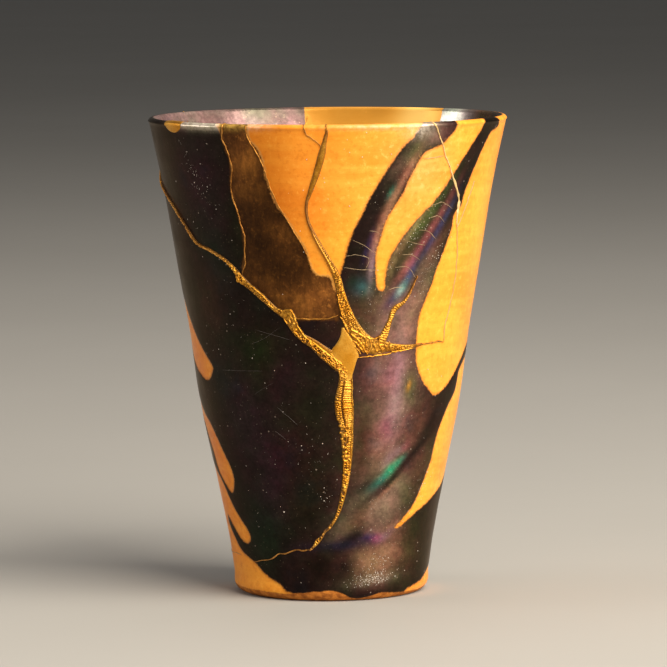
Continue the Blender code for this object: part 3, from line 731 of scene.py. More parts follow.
def smooth_values(points, at):
    """Values at many places of a smooth curve through (place, value) points."""
    places, values = np.array(points, float).T
    last = len(places) - 1
    low = np.maximum(np.arange(last + 1) - 1, 0)
    high = np.minimum(np.arange(last + 1) + 1, last)
    slopes = (values[high] - values[low]) / (places[high] - places[low])
    at = np.asarray(at, float)
    span = np.clip(np.searchsorted(places, at, side="left") - 1, 0, last - 1)
    width = places[span + 1] - places[span]
    t = (at - places[span]) / width
    return (
        values[span] * (1 + 2 * t) * (1 - t) ** 2
        + values[span + 1] * t * t * (3 - 2 * t)
        + width * slopes[span] * t * (1 - t) ** 2
        + width * slopes[span + 1] * t * t * (t - 1)
    )


def value_noise(x, y, seed):
    """Smooth random values from 0 to 1 over a plane, one lattice point a unit."""
    table = np.random.default_rng(seed).random((NOISE_LATTICE, NOISE_LATTICE))
    ix, iy = np.floor(x).astype(int), np.floor(y).astype(int)
    fx, fy = eased(x - ix), eased(y - iy)
    corner = [[table[(ix + i) % NOISE_LATTICE, (iy + j) % NOISE_LATTICE] for j in (0, 1)] for i in (0, 1)]
    low = corner[0][0] * (1 - fx) + corner[1][0] * fx
    high = corner[0][1] * (1 - fx) + corner[1][1] * fx
    return low * (1 - fy) + high * fy


def outer_radius(z):
    share = np.maximum(np.asarray(z, float) / HEIGHT, FOOT_TOP_SHARE)
    return FOOT_RADIUS + (RIM_RADIUS - FOOT_RADIUS) * smooth_values(OUTLINE, share)


def inner_radius(z):
    """The wall thins to the lip over the last stretch below the rim."""
    thinning = smooth_step(HEIGHT - LIP_TAPER, HEIGHT, np.asarray(z, float))
    return outer_radius(z) - (WALL + (LIP_THICKNESS - WALL) * thinning)


def slope_of(profile, z):
    """How fast the radius of a profile grows with height."""
    return (profile(z + SLOPE_STEP) - profile(z - SLOPE_STEP)) / (2 * SLOPE_STEP)


def degree_at(share):
    """How long one degree is round the wall, in metres."""
    return math.radians(1) * float(outer_radius(share * HEIGHT))


def outline_at(share):
    """Radius, height and outward normal (radial, up) along the outer wall, the lip and the inside."""
    share = np.asarray(share, float)
    outer_z = share * HEIGHT
    turn = (share - LIP_START) * HEIGHT / LIP_HALF
    across, up = np.cos(turn), np.sin(turn)
    inner_z = HEIGHT - LIP_HALF - (share - LIP_END) * HEIGHT
    lip = (RIM_RADIUS - LIP_HALF + LIP_HALF * across, HEIGHT - LIP_HALF + LIP_HALF * up, across, up)
    inner = (inner_radius(inner_z), inner_z, -1.0, slope_of(inner_radius, inner_z))
    outer = (outer_radius(outer_z), outer_z, 1.0, -slope_of(outer_radius, outer_z))
    beyond = [np.where(share > LIP_END, a, b) for a, b in zip(inner, outer)]
    on_lip = (share > LIP_START) & (share <= LIP_END)
    radius, z, normal_r, normal_z = (np.where(on_lip, a, b) for a, b in zip(lip, beyond))
    size = np.hypot(normal_r, normal_z)
    return radius, z, normal_r / size, normal_z / size


def on_wall(angle, share, stand=0.0):
    """Points at places on the wall, standing off it by some distance."""
    radius, z, normal_r, normal_z = outline_at(share)
    turn = np.radians(angle)
    out = radius + normal_r * stand
    return np.stack([np.sin(turn) * out, -np.cos(turn) * out, z + normal_z * stand], -1)


def held_in(points):
    """Points drawn in where they would stand wider than the rim."""
    points = np.array(points, float)
    size = np.hypot(points[..., 0], points[..., 1])
    share = np.minimum(1.0, (RIM_RADIUS - RIM_SLACK) / np.maximum(size, RIM_SLACK))
    points[..., :2] *= share[..., None]
    return points


def inside_share(share):
    """The place inside that backs a place on the outer wall."""
    return LIP_END + (LIP_START - share)


def nearest_turn(angle, middle):
    return (angle - middle + 180) % 360 - 180 + middle


# Fields over the wall

def smooth_outline(outline):
    """A closed line with rounded turns through the points of an outline."""
    points = np.array(outline, float)
    t = (np.arange(EDGE_STEPS) / EDGE_STEPS)[None, :, None]
    p0, p1, p2, p3 = (np.roll(points, shift, 0)[:, None, :] for shift in (1, 0, -1, -2))
    bend = (2 * p0 - 5 * p1 + 4 * p2 - p3) * t**2
    twist = (3 * p1 - p0 - 3 * p2 + p3) * t**3
    return (0.5 * (2 * p1 + (p2 - p0) * t + bend + twist)).reshape(-1, 2)


def outline_distance(angle, share, radius, outline):
    """Distance in metres from places on the wall to an outline, positive inside it."""
    line = smooth_outline(outline)
    turned = nearest_turn(angle, line[:, 0].mean())
    ay = line[:, 1] * HEIGHT
    by = np.roll(ay, -1)
    found = np.empty(len(angle))
    for start in range(0, len(angle), CHUNK):
        part = slice(start, start + CHUNK)
        scale = math.radians(1) * radius[part, None]
        x, y = turned[part, None] * scale, share[part, None] * HEIGHT
        ax = line[None, :, 0] * scale
        bx = np.roll(ax, -1, 1)
        ex, ey = bx - ax, by - ay
        t = np.clip(((x - ax) * ex + (y - ay) * ey) / np.maximum(ex * ex + ey * ey, TINY), 0, 1)
        gap = np.hypot(ax + t * ex - x, ay + t * ey - y).min(1)
        crosses = (ay > y) != (by > y)
        level = np.where(ey == 0, 1.0, ey)
        inside = (crosses & (x < ax + (y - ay) / level * ex)).sum(1) % 2 == 1
        found[part] = np.where(inside, gap, -gap)
    return found


def ochre_distance(angle, share, radius):
    """Distance to the edge of the ochre inside: a tongue that narrows and drifts towards the floor."""
    deep = smooth_step(OCHRE_TOP, OCHRE_DEPTH, share)
    sway = OCHRE_SWAY * np.sin(OCHRE_WAVE * (share - OCHRE_TOP)) * smooth_step(*OCHRE_STRAIGHT, share)
    middle = (OCHRE_TO + OCHRE_FROM) / 2 + OCHRE_DRIFT * deep + sway
    half = (OCHRE_TO - OCHRE_FROM) / 2 * (1 - OCHRE_NARROWS * deep)
    return np.radians(half - np.abs(nearest_turn(angle, OCHRE_MIDDLE) - middle)) * radius


def spot_weights(angle, share, radius, spots):
    """For each soft tilted spot in turn, how much of it lies at each place."""
    for at_angle, at_share, half_length, half_width, tilt, *_, strength in spots:
        x = np.radians(nearest_turn(angle, at_angle) - at_angle) * radius
        y = (share - at_share) * HEIGHT
        turn = math.radians(tilt)
        along = (x * math.cos(turn) + y * math.sin(turn)) / (half_length * MILLIMETRE)
        across = (y * math.cos(turn) - x * math.sin(turn)) / (half_width * MILLIMETRE)
        yield np.exp(-(along**2 + across**2)) * strength


def painted(angle, share, radius, base, spots):
    """A colour at each place: a ground with spots of other colours over it."""
    colour = np.tile(np.array(base, float), (len(angle), 1))
    for spot, weight in zip(spots, spot_weights(angle, share, radius, spots)):
        colour = colour * (1 - weight[:, None]) + np.array(spot[5]) * weight[:, None]
    return colour


def lit(angle, share, radius, base, spots):
    """A brightness at each place: a ground to which spots add."""
    light = np.full(len(angle), float(base))
    for weight in spot_weights(angle, share, radius, spots):
        light += weight
    return light


# Meshes

def new_object(name, points, faces, *materials, smooth=True):
    mesh = bpy.data.meshes.new(name)
    mesh.from_pydata(np.asarray(points, float).tolist(), [], faces)
    for material in materials:
        mesh.materials.append(material)
    if smooth:
        mesh.shade_smooth()
    made = bpy.data.objects.new(name, mesh)
    bpy.context.scene.collection.objects.link(made)
    return made


def add_values(made, name, values):
    kind, entry = ("FLOAT_COLOR", "color") if values.ndim == 2 else ("FLOAT", "value")
    if values.ndim == 2:
        values = np.concatenate([values, np.ones((len(values), 1))], 1)
    layer = made.data.attributes.new(name, kind, "POINT")
    layer.data.foreach_set(entry, values.astype(np.float32).ravel())


def add_bake_map(made, across, up):
    """Lays the faces out flat from a place for each point. Faces over the seam at the back run on past it."""
    mesh = made.data
    vertex = np.empty(len(mesh.loops), np.int32)
    mesh.loops.foreach_get("vertex_index", vertex)
    first = np.empty(len(mesh.polygons), np.int32)
    mesh.polygons.foreach_get("loop_start", first)
    count = np.diff(np.append(first, len(vertex)))
    u, v = across[vertex], up[vertex]
    u = np.where(np.repeat(np.maximum.reduceat(u, first), count) - u > 0.5, u + 1, u)
    layer = mesh.uv_layers.new(name=BAKE_MAP)
    layer.data.foreach_set("uv", np.stack([u, v], 1).astype(np.float32).ravel())


def cell_layout(parts, crystal_count):
    """Places in the bake for the crystals, a cell each, and then for the cracks, a cell each."""
    number = np.repeat(np.arange(crystal_count), CRYSTAL_SIDES + 2)
    turn = math.tau * np.arange(CRYSTAL_SIDES) / CRYSTAL_SIDES
    out_u, out_v = (np.tile([0, 0, *wave(turn)], crystal_count) * CELL_FILL for wave in (np.cos, np.sin))
    across = [(number % CRYSTAL_CELLS + 0.5 + out_u) / CRYSTAL_CELLS]
    up = [CRYSTAL_BAND + (number // CRYSTAL_CELLS + 0.5 + out_v) * CRYSTAL_CELL_HEIGHT]
    for k, (points, _) in enumerate(parts):
        at = np.arange(len(points))
        across.append((k + THREAD_MARGIN + (1 - 2 * THREAD_MARGIN) * at / len(points)) / len(parts))
        up.append(THREAD_BAND + THREAD_BAND_HEIGHT * (at % HAIR_SIDES) / (HAIR_SIDES - 1))
    return np.concatenate(across), np.concatenate(up)


def stacked(parts):
    """Several (points, faces) as one, and for each face the number of its part."""
    faces, numbers, first = [], [], 0
    for number, (points, part_faces) in enumerate(parts):
        faces += [tuple(first + i for i in face) for face in part_faces]
        numbers += [number] * len(part_faces)
        first += len(points)
    return np.concatenate([points for points, _ in parts]), faces, np.array(numbers)


# The body

def lathe_rows():
    """Places of the body's rows as (radius, height, share), from the middle inside to the middle below."""
    rows = [(0.0, FLOOR_THICKNESS, FLOOR_SHARES[0])]
    fillet_top = FLOOR_THICKNESS + FLOOR_FILLET
    corner = float(inner_radius(fillet_top)) - FLOOR_FILLET
    for i in range(1, FLAT_ROWS + 1):
        rows.append((corner * i / FLAT_ROWS, FLOOR_THICKNESS, FLOOR_SHARES[1]))
    turns = [math.pi / 2 * i / CORNER_ROWS for i in range(1, CORNER_ROWS + 1)]
    for turn in turns:
        height = fillet_top - FLOOR_FILLET * math.cos(turn)
        rows.append((corner + FLOOR_FILLET * math.sin(turn), height, FLOOR_SHARES[2]))
    stops = [inside_share(fillet_top / HEIGHT), LIP_END, LIP_START, FOOT_ROUNDING / HEIGHT]
    shares = []
    for start, end, count in zip(stops, stops[1:], (INNER_ROWS, LIP_ROWS, OUTER_ROWS)):
        shares += list(np.linspace(start, end, count + 1)[1:])
    radius, z, _, _ = outline_at(shares)
    rows += list(zip(radius, z, shares))
    ring_outer = float(outer_radius(FOOT_ROUNDING)) - FOOT_ROUNDING
    for turn in turns:
        height = FOOT_ROUNDING * (1 - math.sin(turn))
        rows.append((ring_outer + FOOT_ROUNDING * math.cos(turn), height, height / HEIGHT))
    ring_inner = ring_outer - FOOT_RING_WIDTH
    recess = ring_inner - FOOT_RECESS_DEPTH
    below = [(ring_outer - FOOT_RING_WIDTH / 2, 0.0), (ring_inner, 0.0)]
    below += [(radius, FOOT_RECESS_DEPTH) for radius in (recess, recess / 2, 0.0)]
    rows += [(*place, share) for place, share in zip(below, UNDERSIDE_SHARES)]
    return np.array(rows, float)


def lathe_faces(row_count):
    """Faces between the rows of a lathe whose first and last rows are single points."""
    faces = []
    bottom = 1 + (row_count - 3) * COLUMNS
    for k in range(COLUMNS):
        after = (k + 1) % COLUMNS
        faces.append((0, 1 + k, 1 + after))
        for a in range(1, bottom, COLUMNS):
            b = a + COLUMNS
            faces.append((a + k, b + k, b + after, a + after))
        faces.append((bottom + k, bottom + COLUMNS, bottom + after))
    return faces


def crystal_places():
    """The named crystals and those strewn over the patches: angle, share, radius in metres."""
    places = [(angle, share, size * MILLIMETRE) for angle, share, size in CRYSTALS]
    chance = np.random.default_rng(CRYSTAL_SEED)
    low, high = PATCH_CRYSTAL
    for angle, share, half_length, half_width, tilt, count, scale in CRYSTAL_PATCHES:
        radius = float(outer_radius(share * HEIGHT))
        turn = math.radians(tilt)
        for along, across, size in chance.normal(size=(count, 3)):
            x, y = along * half_length * PATCH_CROWDING, across * half_width * PATCH_CROWDING
            side = (x * math.cos(turn) - y * math.sin(turn)) * MILLIMETRE
            up = (x * math.sin(turn) + y * math.cos(turn)) * MILLIMETRE / HEIGHT
            big = (low + (high - low) * min(abs(size) / PATCH_SPREAD, 1.0)) * scale * MILLIMETRE
            if PATCH_LOWEST < share + up < PATCH_HIGHEST:
                places.append((angle + math.degrees(side / radius), share + up, big))
    return places


def crystal_points():
    """Low domes for the crystals: points, and faces counted from 0."""
    points, faces = [], []
    for angle, share, size in crystal_places():
        radius = float(outer_radius(share * HEIGHT))
        start = len(points)
        points.append(on_wall(angle, share, CRYSTAL_STAND))
        points.append(on_wall(angle, share, -CRYSTAL_ROOT * CRYSTAL_STAND))
        sunk_edge = -CRYSTAL_EDGE * CRYSTAL_STAND
        for i in range(CRYSTAL_SIDES):
            turn = math.tau * i / CRYSTAL_SIDES
            side = size * math.cos(turn) / radius
            up = size * math.sin(turn) / HEIGHT
            points.append(on_wall(angle + math.degrees(side), share + up, sunk_edge))
            after = (i + 1) % CRYSTAL_SIDES
            faces.append((start, start + 2 + i, start + 2 + after))
            faces.append((start + 1, start + 2 + after, start + 2 + i))
    return points, faces


def route_line(route):
    """Dense stations of a route: angle, share, half width in metres, place counted in route points."""
    points = np.array(route, float)
    numbers = np.arange(len(points))
    at = np.linspace(0, len(points) - 1, (len(points) - 1) * ROUTE_STEPS + 1)
    angle, share, width = (smooth_values(np.stack([numbers, column], 1), at) for column in points.T)
    return np.stack([angle, share, width * MILLIMETRE, at], 1)


def strip(route, stand, sway, inside=False):
    """A thin raised line along a route, as a closed solid: points and faces."""
    line = route_line(route)
    degree = degree_at(line[:, 1].mean())
    steps = np.hypot(np.diff(line[:, 0]) * degree, np.diff(line[:, 1]) * HEIGHT)
    length = np.concatenate([[0.0], np.cumsum(steps)])
    count = max(int(length[-1] / HAIR_SPACING), 3)
    at = np.linspace(0, length[-1], count)
    angle, share, width = (np.interp(at, length, line[:, k]) for k in range(3))
    ends = np.minimum(1, np.minimum(at, length[-1] - at) / HAIR_TAPER)
    shift = sway * ends * (2 * value_noise(at / HAIR_WAVE, share * HAIR_WAVE_ROWS, HAIR_WAVE_SEED) - 1)
    angle = angle + shift / degree
    share = share + np.roll(shift, HAIR_UPRIGHT_LAG) / HEIGHT * HAIR_UPRIGHT_SWAY
    if inside:
        share = inside_share(share)
    uneven = value_noise(at / HAIR_SWELL, share * HAIR_SWELL_ROWS, HAIR_SWELL_SEED)
    swell = 1 + HAIR_SWELLING * (uneven - 0.5)
    half = (width * swell * (HAIR_END + (1 - HAIR_END) * ends))[:, None]
    centre = on_wall(angle, share)
    normal = (on_wall(angle, share, MILLIMETRE) - centre) / MILLIMETRE
    side = np.cross(np.gradient(centre, axis=0), normal)
    side /= np.linalg.norm(side, axis=1)[:, None]
    lumps = value_noise(at / HAIR_LUMP, at * 0, HAIR_LUMP_SEED)[:, None]
    rise = stand * (HAIR_LOW + HAIR_LUMPINESS * lumps)
    out, up = HAIR_SHOULDER
    under = centre - normal * SEAM_SINK
    rings = [under + side * half, centre + side * half * out + normal * rise * up, centre + normal * rise]
    rings += [centre - side * half * out + normal * rise * up, under - side * half]
    rings = held_in(np.stack(rings, 1))
    faces = []
    for a in range(0, (count - 1) * HAIR_SIDES, HAIR_SIDES):
        b = a + HAIR_SIDES
        for k in range(HAIR_SIDES):
            after = (k + 1) % HAIR_SIDES
            faces.append((a + k, b + k, b + after, a + after))
    faces.append(tuple(range(HAIR_SIDES)))
    faces.append(tuple(reversed(range((count - 1) * HAIR_SIDES, count * HAIR_SIDES))))
    return rings.reshape(-1, 3), faces


def thread(route, width, sway):
    """A crack or scratch of one width."""
    return strip([(angle, share, width) for angle, share in route], THREAD_STAND, sway)


def over_columns(values):
    """A value a point from a value a row. The first and last rows are single points."""
    return np.concatenate([values[:1], np.repeat(values[1:-1], COLUMNS), values[-1:]])


def wall_fields(angle, share, radius, z):
    """What the glaze's shader needs at each point of the wall, by name."""
    inside = share > LIP_START + (LIP_END - LIP_START) / 2
    out = ~inside
    low_share = np.minimum(share[out], z[out] / HEIGHT + UNDERSIDE_LIFT)
    place = (angle[out], low_share, np.maximum(radius[out], FOOT_RADIUS))
    inner = (angle[inside], share[inside], np.maximum(radius[inside], INNER_LEAST))

    def halves(outer_values, inner_values):
        values = np.empty((len(angle), *np.shape(outer_values)[1:]))
        values[out] = outer_values
        values[inside] = inner_values
        return values

    first, last = FOOT_BAND[0][0], FOOT_BAND[-1][0]
    foot = smooth_values(FOOT_BAND, np.clip(nearest_turn(angle[out], (first + last) / 2), first, last))
    return {
        "orange_gap": halves(np.max([outline_distance(*place, outline) for outline in ORANGE], 0), -1.0),
        "bronze_gap": halves(outline_distance(*place, BRONZE), -1.0),
        "clay_gap": halves((foot - low_share) * HEIGHT, -1.0),
        "ochre_gap": halves(-1.0, ochre_distance(*inner)),
        "brown_light": halves(lit(*place, BRONZE_DARK, BRONZE_LIGHT), lit(*inner, OCHRE_DARK, OCHRE_PAINTED_LIGHT)),
        "inside": inside * 1.0,
        "lip_wear_and_highlight": lit(angle, share, radius, 0, LIP_WEAR_AND_HIGHLIGHT),
        "lustre_and_painted_light": halves(painted(*place, NIGHT, LUSTRE_AND_PAINTED_LIGHT), painted(*inner, NIGHT, INSIDE_LUSTRE_AND_HIGHLIGHT)),
        "orange_tone_and_painted_light": halves(painted(*place, WHITE, ORANGE_TONE_AND_PAINTED_LIGHT), 1.0),
    }


def sunk(angle, share, fields):
    """How far the wall lies below its plain outline: throwing waves, the glaze's step, and the rim."""
    turn = np.radians(angle)
    taper = smooth_step(*WAVES_START, share) * (1 - smooth_step(*WAVES_END, share))
    leaning = angle * WAVE_COLUMNS / 360 + WAVE_LEAN * np.sin(turn)
    waves = value_noise(share * WAVE_ROWS + 7, leaning, WAVE_SEED)
    waves += FINE_WAVE_SHARE * value_noise(share * FINE_WAVE_ROWS, np.cos(turn) * 2 + 5, FINE_WAVE_SEED)
    sink = WAVE_DEPTH * waves / (1 + FINE_WAVE_SHARE) * taper
    bare = np.maximum(fields["orange_gap"], fields["clay_gap"])
    outside = (fields["inside"] == 0) & (share > 0)
    sink += GLAZE_STEP * smooth_step(-GLAZE_EDGE, GLAZE_EDGE, bare) * taper * outside
    return sink + RIM_SINK * smooth_step(*RIM_START, share) * (1 - smooth_step(LIP_START, LIP_END, share))


def make_body(glaze, crystal, crack):
    rows = lathe_rows()
    radius, z, share = (over_columns(column) for column in rows.T)
    turns = 360.0 * np.arange(COLUMNS) / COLUMNS
    angle = np.concatenate([[0.0], np.tile(turns, len(rows) - 2), [0.0]])
    fields = wall_fields(angle, share, radius, z)
    radius = radius - sunk(angle, share, fields)
    turn = np.radians(angle)
    wall = np.stack([np.sin(turn) * radius, -np.cos(turn) * radius, z], 1)

    parts = [(wall, lathe_faces(len(rows))), crystal_points()]
    parts += [thread(route, CRACK_WIDTH, THREAD_SWAY) for route in CRACKS]
    parts += [thread(route, SCRATCH_WIDTH, THREAD_SWAY / 3) for route in SCRATCHES]
    points, faces, slots = stacked(parts)
    body = new_object("cup_shell", points, faces, glaze, crystal, crack)
    body.data.polygons.foreach_set("material_index", np.minimum(slots, 2).astype(np.int32))
    for name, values in fields.items():
        padding = np.full((len(points) - len(wall), *values.shape[1:]), float(UNPAINTED.get(name, 0)))
        add_values(body, name, np.concatenate([values, padding]))
    sizes = [len(part[0]) for part in parts]
    pale = np.zeros(len(points))
    pale[sum(sizes[:2]) : sum(sizes[: 2 + len(CRACKS)])] = 1.0
    add_values(body, "pale", pale)

    weight = np.where((rows[:, 2] > 0) & (rows[:, 2] <= LIP_START), OUTSIDE_WEIGHT, INSIDE_WEIGHT)
    steps = np.hypot(np.diff(rows[:, 0]), np.diff(rows[:, 1])) * weight[1:]
    up = over_columns(np.concatenate([[0.0], np.cumsum(steps)]) / steps.sum() * WALL_BAND)
    cell_across, cell_up = cell_layout(parts[2:], sizes[1] // (CRYSTAL_SIDES + 2))
    from_back = (angle / 360 + 0.5) % 1
    add_bake_map(body, np.concatenate([from_back, cell_across]), np.concatenate([up, cell_up]))
    return body


# Gold relief

def near_span(grid, start, end, reach):
    """Which places of a grid line are within reach of a span."""
    return np.flatnonzero((grid > min(start, end) - reach) & (grid < max(start, end) + reach))


def seam_distances(grid_angle, grid_share, line):
    """For each grid place near a route: signed distance across, half width, distance along, route place."""
    shape = (len(grid_share), len(grid_angle))
    across, width, along, place = (np.full(shape, start) for start in (1.0, MILLIMETRE, 0.0, 0.0))
    travelled = 0.0
    for start, end in zip(line, line[1:]):
        degree = degree_at((start[1] + end[1]) / 2)
        reach = max(start[2], end[2]) + SPAN_MARGIN
        step_x, step_y = (end[0] - start[0]) * degree, (end[1] - start[1]) * HEIGHT
        length = math.hypot(step_x, step_y)
        columns = near_span(grid_angle, start[0], end[0], reach / degree)
        rows = near_span(grid_share, start[1], end[1], reach / HEIGHT)
        if len(columns) and len(rows) and length > 0:
            patch = np.ix_(rows, columns)
            x = ((grid_angle[columns] - start[0]) * degree)[None, :]
            y = ((grid_share[rows] - start[1]) * HEIGHT)[:, None]
            ux, uy = step_x / length, step_y / length
            t = np.clip(x * ux + y * uy, 0, length)
            gap = np.hypot(x - t * ux, y - t * uy)
            side = np.where(y * ux - x * uy >= 0, 1.0, -1.0)
            nearer = gap < np.abs(across[patch])
            half_width, number = (start[k] + (end[k] - start[k]) * t / length for k in (2, 3))
            found = (gap * side, half_width, travelled + t, number)
            for kept, new in zip((across, width, along, place), found):
                kept[patch] = np.where(nearer, new, kept[patch])
        travelled += length
    return across, width, along, place


def dome(across, width, flatness=2.0):
    """The height of a strand's section, from 1 in the middle to 0 at its edge, and how far past the edge."""
    q = np.abs(across) / width
    inside = np.sqrt(np.clip(1 - q**flatness, 0, 1))
    return np.where(q <= 1, inside, 0.0), np.maximum(np.abs(across) - width, 0)


class Strand:
    """Places on a strand of gold. Sizes are in metres, and a seed picks a table of random values."""

    def __init__(self, across, width, along, place):
        self.across, self.width, self.along, self.place = across, width, along, place
        self.side = across / width

    def noise(self, size_along, size_across, seed, shift=0):
        return value_noise(self.along / size_along, self.across / size_across + shift, seed)

    def beads(self, pitch, slant, depth, seed):
        """Uneven rounded beads along the strand, with narrow dips between them."""
        jitter = value_noise(self.along / pitch * BEAD_DRIFT, self.side * BEAD_TWIST + 3, seed)
        phase = self.along / pitch + slant * self.across / self.width + jitter * BEAD_JITTER
        heights = np.random.default_rng(seed).random(BEAD_HEIGHTS)
        tall = heights[np.floor(phase).astype(int) % BEAD_HEIGHTS]
        round_top = np.abs(np.sin(math.pi * phase)) ** BEAD_ROUNDNESS
        return (1 - depth * (1 - round_top)) * (BEAD_LEAST + BEAD_SPREAD * tall)

    def wrinkles(self, size, seed):
        """Irregular wrinkles about one size wide."""
        field = self.noise(size, size, seed, 9)
        crest = np.clip(WRINKLE_WIDTH - WRINKLE_SLOPE * np.abs(field - 0.5), 0, 1)
        return WRINKLE_LEAST + WRINKLE_SPREAD * crest**WRINKLE_ROUNDNESS

    def grain(self, size, seed):
        """Fine uneven grain, around 1."""
        return GRAIN_LEAST + GRAIN_SPREAD * self.noise(size, size, seed, 5)

    def past(self, start, end):
        """0 before a stretch of the route, and 1 after it."""
        return smooth_step(start, end, self.place)

    def between(self, start, end, soft):
        """1 between two places along the route, easing off over a soft stretch."""
        return self.past(start - soft, start + soft) * (1 - self.past(end - soft, end + soft))


def left_arm_relief(strand):
    fine = strand.grain(0.00026, 24)
    thin = 0.42 + 0.68 * strand.wrinkles(0.00040, 23)
    knobs = strand.wrinkles(0.00058, 22)
    lower = smooth_step(0.30, 0.00, strand.side)
    edges = 0.26 + 0.46 * strand.wrinkles(0.00036, 27)
    beads = strand.beads(0.00048, -0.35, 0.90, 21)
    ribbon = (beads * (0.55 + 0.45 * knobs) * lower + edges * (1 - lower)) * fine
    bulge = (0.34 + 0.36 * strand.wrinkles(0.00075, 26)) * fine
    rough = strand.wrinkles(0.00050, 25) * lower * fine + 0.52 * (1 - lower)
    return (
        (1 - strand.past(8.2, 8.8)) * thin
        + strand.between(8.5, 10.5, 0.3) * knobs * fine
        + strand.between(10.5, 13.3, 0.3) * ribbon
        + strand.between(13.3, 15.0, 0.25) * bulge
        + strand.past(14.75, 15.25) * rough
    )


def stem_relief(strand):
    side = strand.side
    fine = strand.grain(SEAM_GRAIN, 36)
    groove = 1 - STEM_GROOVE_DEPTH * np.exp(-(((side - STEM_SPLIT) / STEM_GROOVE_WIDTH) ** 2))
    left_beads = 0.92 * strand.beads(0.00050, -0.8, 0.97, 31) * fine
    right_ridges = strand.beads(0.00047, 0.15, 0.72, 32) * (0.8 + 0.2 * fine)
    on_left = smooth_step(STEM_SPLIT + 0.03, STEM_SPLIT - 0.03, side)
    ladder = (on_left * left_beads + (1 - on_left) * right_ridges) * groove
    right_side = smooth_step(0.05, 0.35, side)
    lower = right_side * 0.78 * right_ridges + (1 - right_side) * strand.wrinkles(0.00056, 33) * fine
    edge = smooth_step(0.15, 0.45, side)
    calm = 0.75 * edge + (1 - edge) * 0.80 * strand.wrinkles(SEAM_WRINKLE, 34)
    top = right_side * 0.40 + (1 - right_side) * strand.wrinkles(0.00050, 35) * fine
    return (
        (1 - strand.past(0.9, 1.3)) * strand.past(0.05, 0.85) * top
        + strand.between(1.1, 4.1, 0.2) * ladder
        + strand.between(4.1, 6.4, 0.3) * lower
        + strand.past(6.1, 6.7) * calm
    )


def upper_arm_relief(strand):
    fine = strand.grain(SEAM_GRAIN, 45)
    band = 0.44 + 0.16 * strand.noise(0.0011, 0.0006, 43)
    right = smooth_step(-0.25, -0.05, strand.side)
    dashes = 0.72 * strand.beads(0.00052, 0.5, 0.97, 44) * fine
    split = (1 - right) * 0.95 + right * dashes
    wrinkles = strand.beads(0.00050, 0.25, 0.85, 41) * (0.70 + 0.30 * strand.wrinkles(0.0005, 46))
    web = 0.16 + 0.40 * strand.wrinkles(SEAM_WRINKLE, 42)
    return (
        (1 - strand.past(6.2, 6.8)) * band
        + strand.between(6.5, 8.6, 0.3) * split
        + strand.between(8.6, 12.1, 0.3) * 0.96 * wrinkles * fine
        + strand.past(11.8, 12.4) * web
    )


def right_arm_relief(strand):
    fine = strand.grain(SEAM_GRAIN, 53)
    ridges = strand.beads(0.00050, 0.4, 0.80, 51) * (0.6 + 0.4 * strand.wrinkles(0.0005, 54)) * fine
    web = 0.16 + 0.40 * strand.wrinkles(SEAM_WRINKLE, 52)
    far = strand.past(2.2, 2.8)
    rail = smooth_step(0.50, 0.68, strand.side)
    return web * (1 - far) + far * (ridges * (1 - rail) + 0.85 * rail)


def antler_relief(strand):
    beads = strand.beads(0.00062, 0.35, 0.85, 61) * strand.grain(SEAM_GRAIN, 62)
    smooth_end = strand.past(4.0, 4.8)
    return beads * (1 - smooth_end) + smooth_end * 0.85 * strand.grain(0.0003, 63)


def hub_relief(strand):
    return 0.94 + 0.06 * strand.noise(0.0014, 0.0014, 71)


def plain_relief(strand):
    return (0.30 + 0.70 * strand.wrinkles(0.00062, 81)) * strand.grain(0.0003, 82)


# The strands: route, height as a share of the stand, flatness of the section, relief, how grainy
FRONT_STRANDS = [
    (LEFT_ARM, 0.92, 2.4, left_arm_relief, 1.0),
    (HUB, 0.50, 6.0, hub_relief, 0.0),
    (STEM, 1.06, 2.6, stem_relief, 1.0),
    (UPPER_ARM, 1.00, 2.6, upper_arm_relief, 0.9),
    (RIGHT_ARM, 0.85, 2.6, right_arm_relief, 0.9),
    (ANTLER, 0.80, 2.2, antler_relief, 0.8),
]
BACK_STRANDS = [(BACK_STEM, 1.0, 2.4, plain_relief, 1.0), (BACK_BRANCH, 0.86, 2.4, plain_relief, 1.0)]


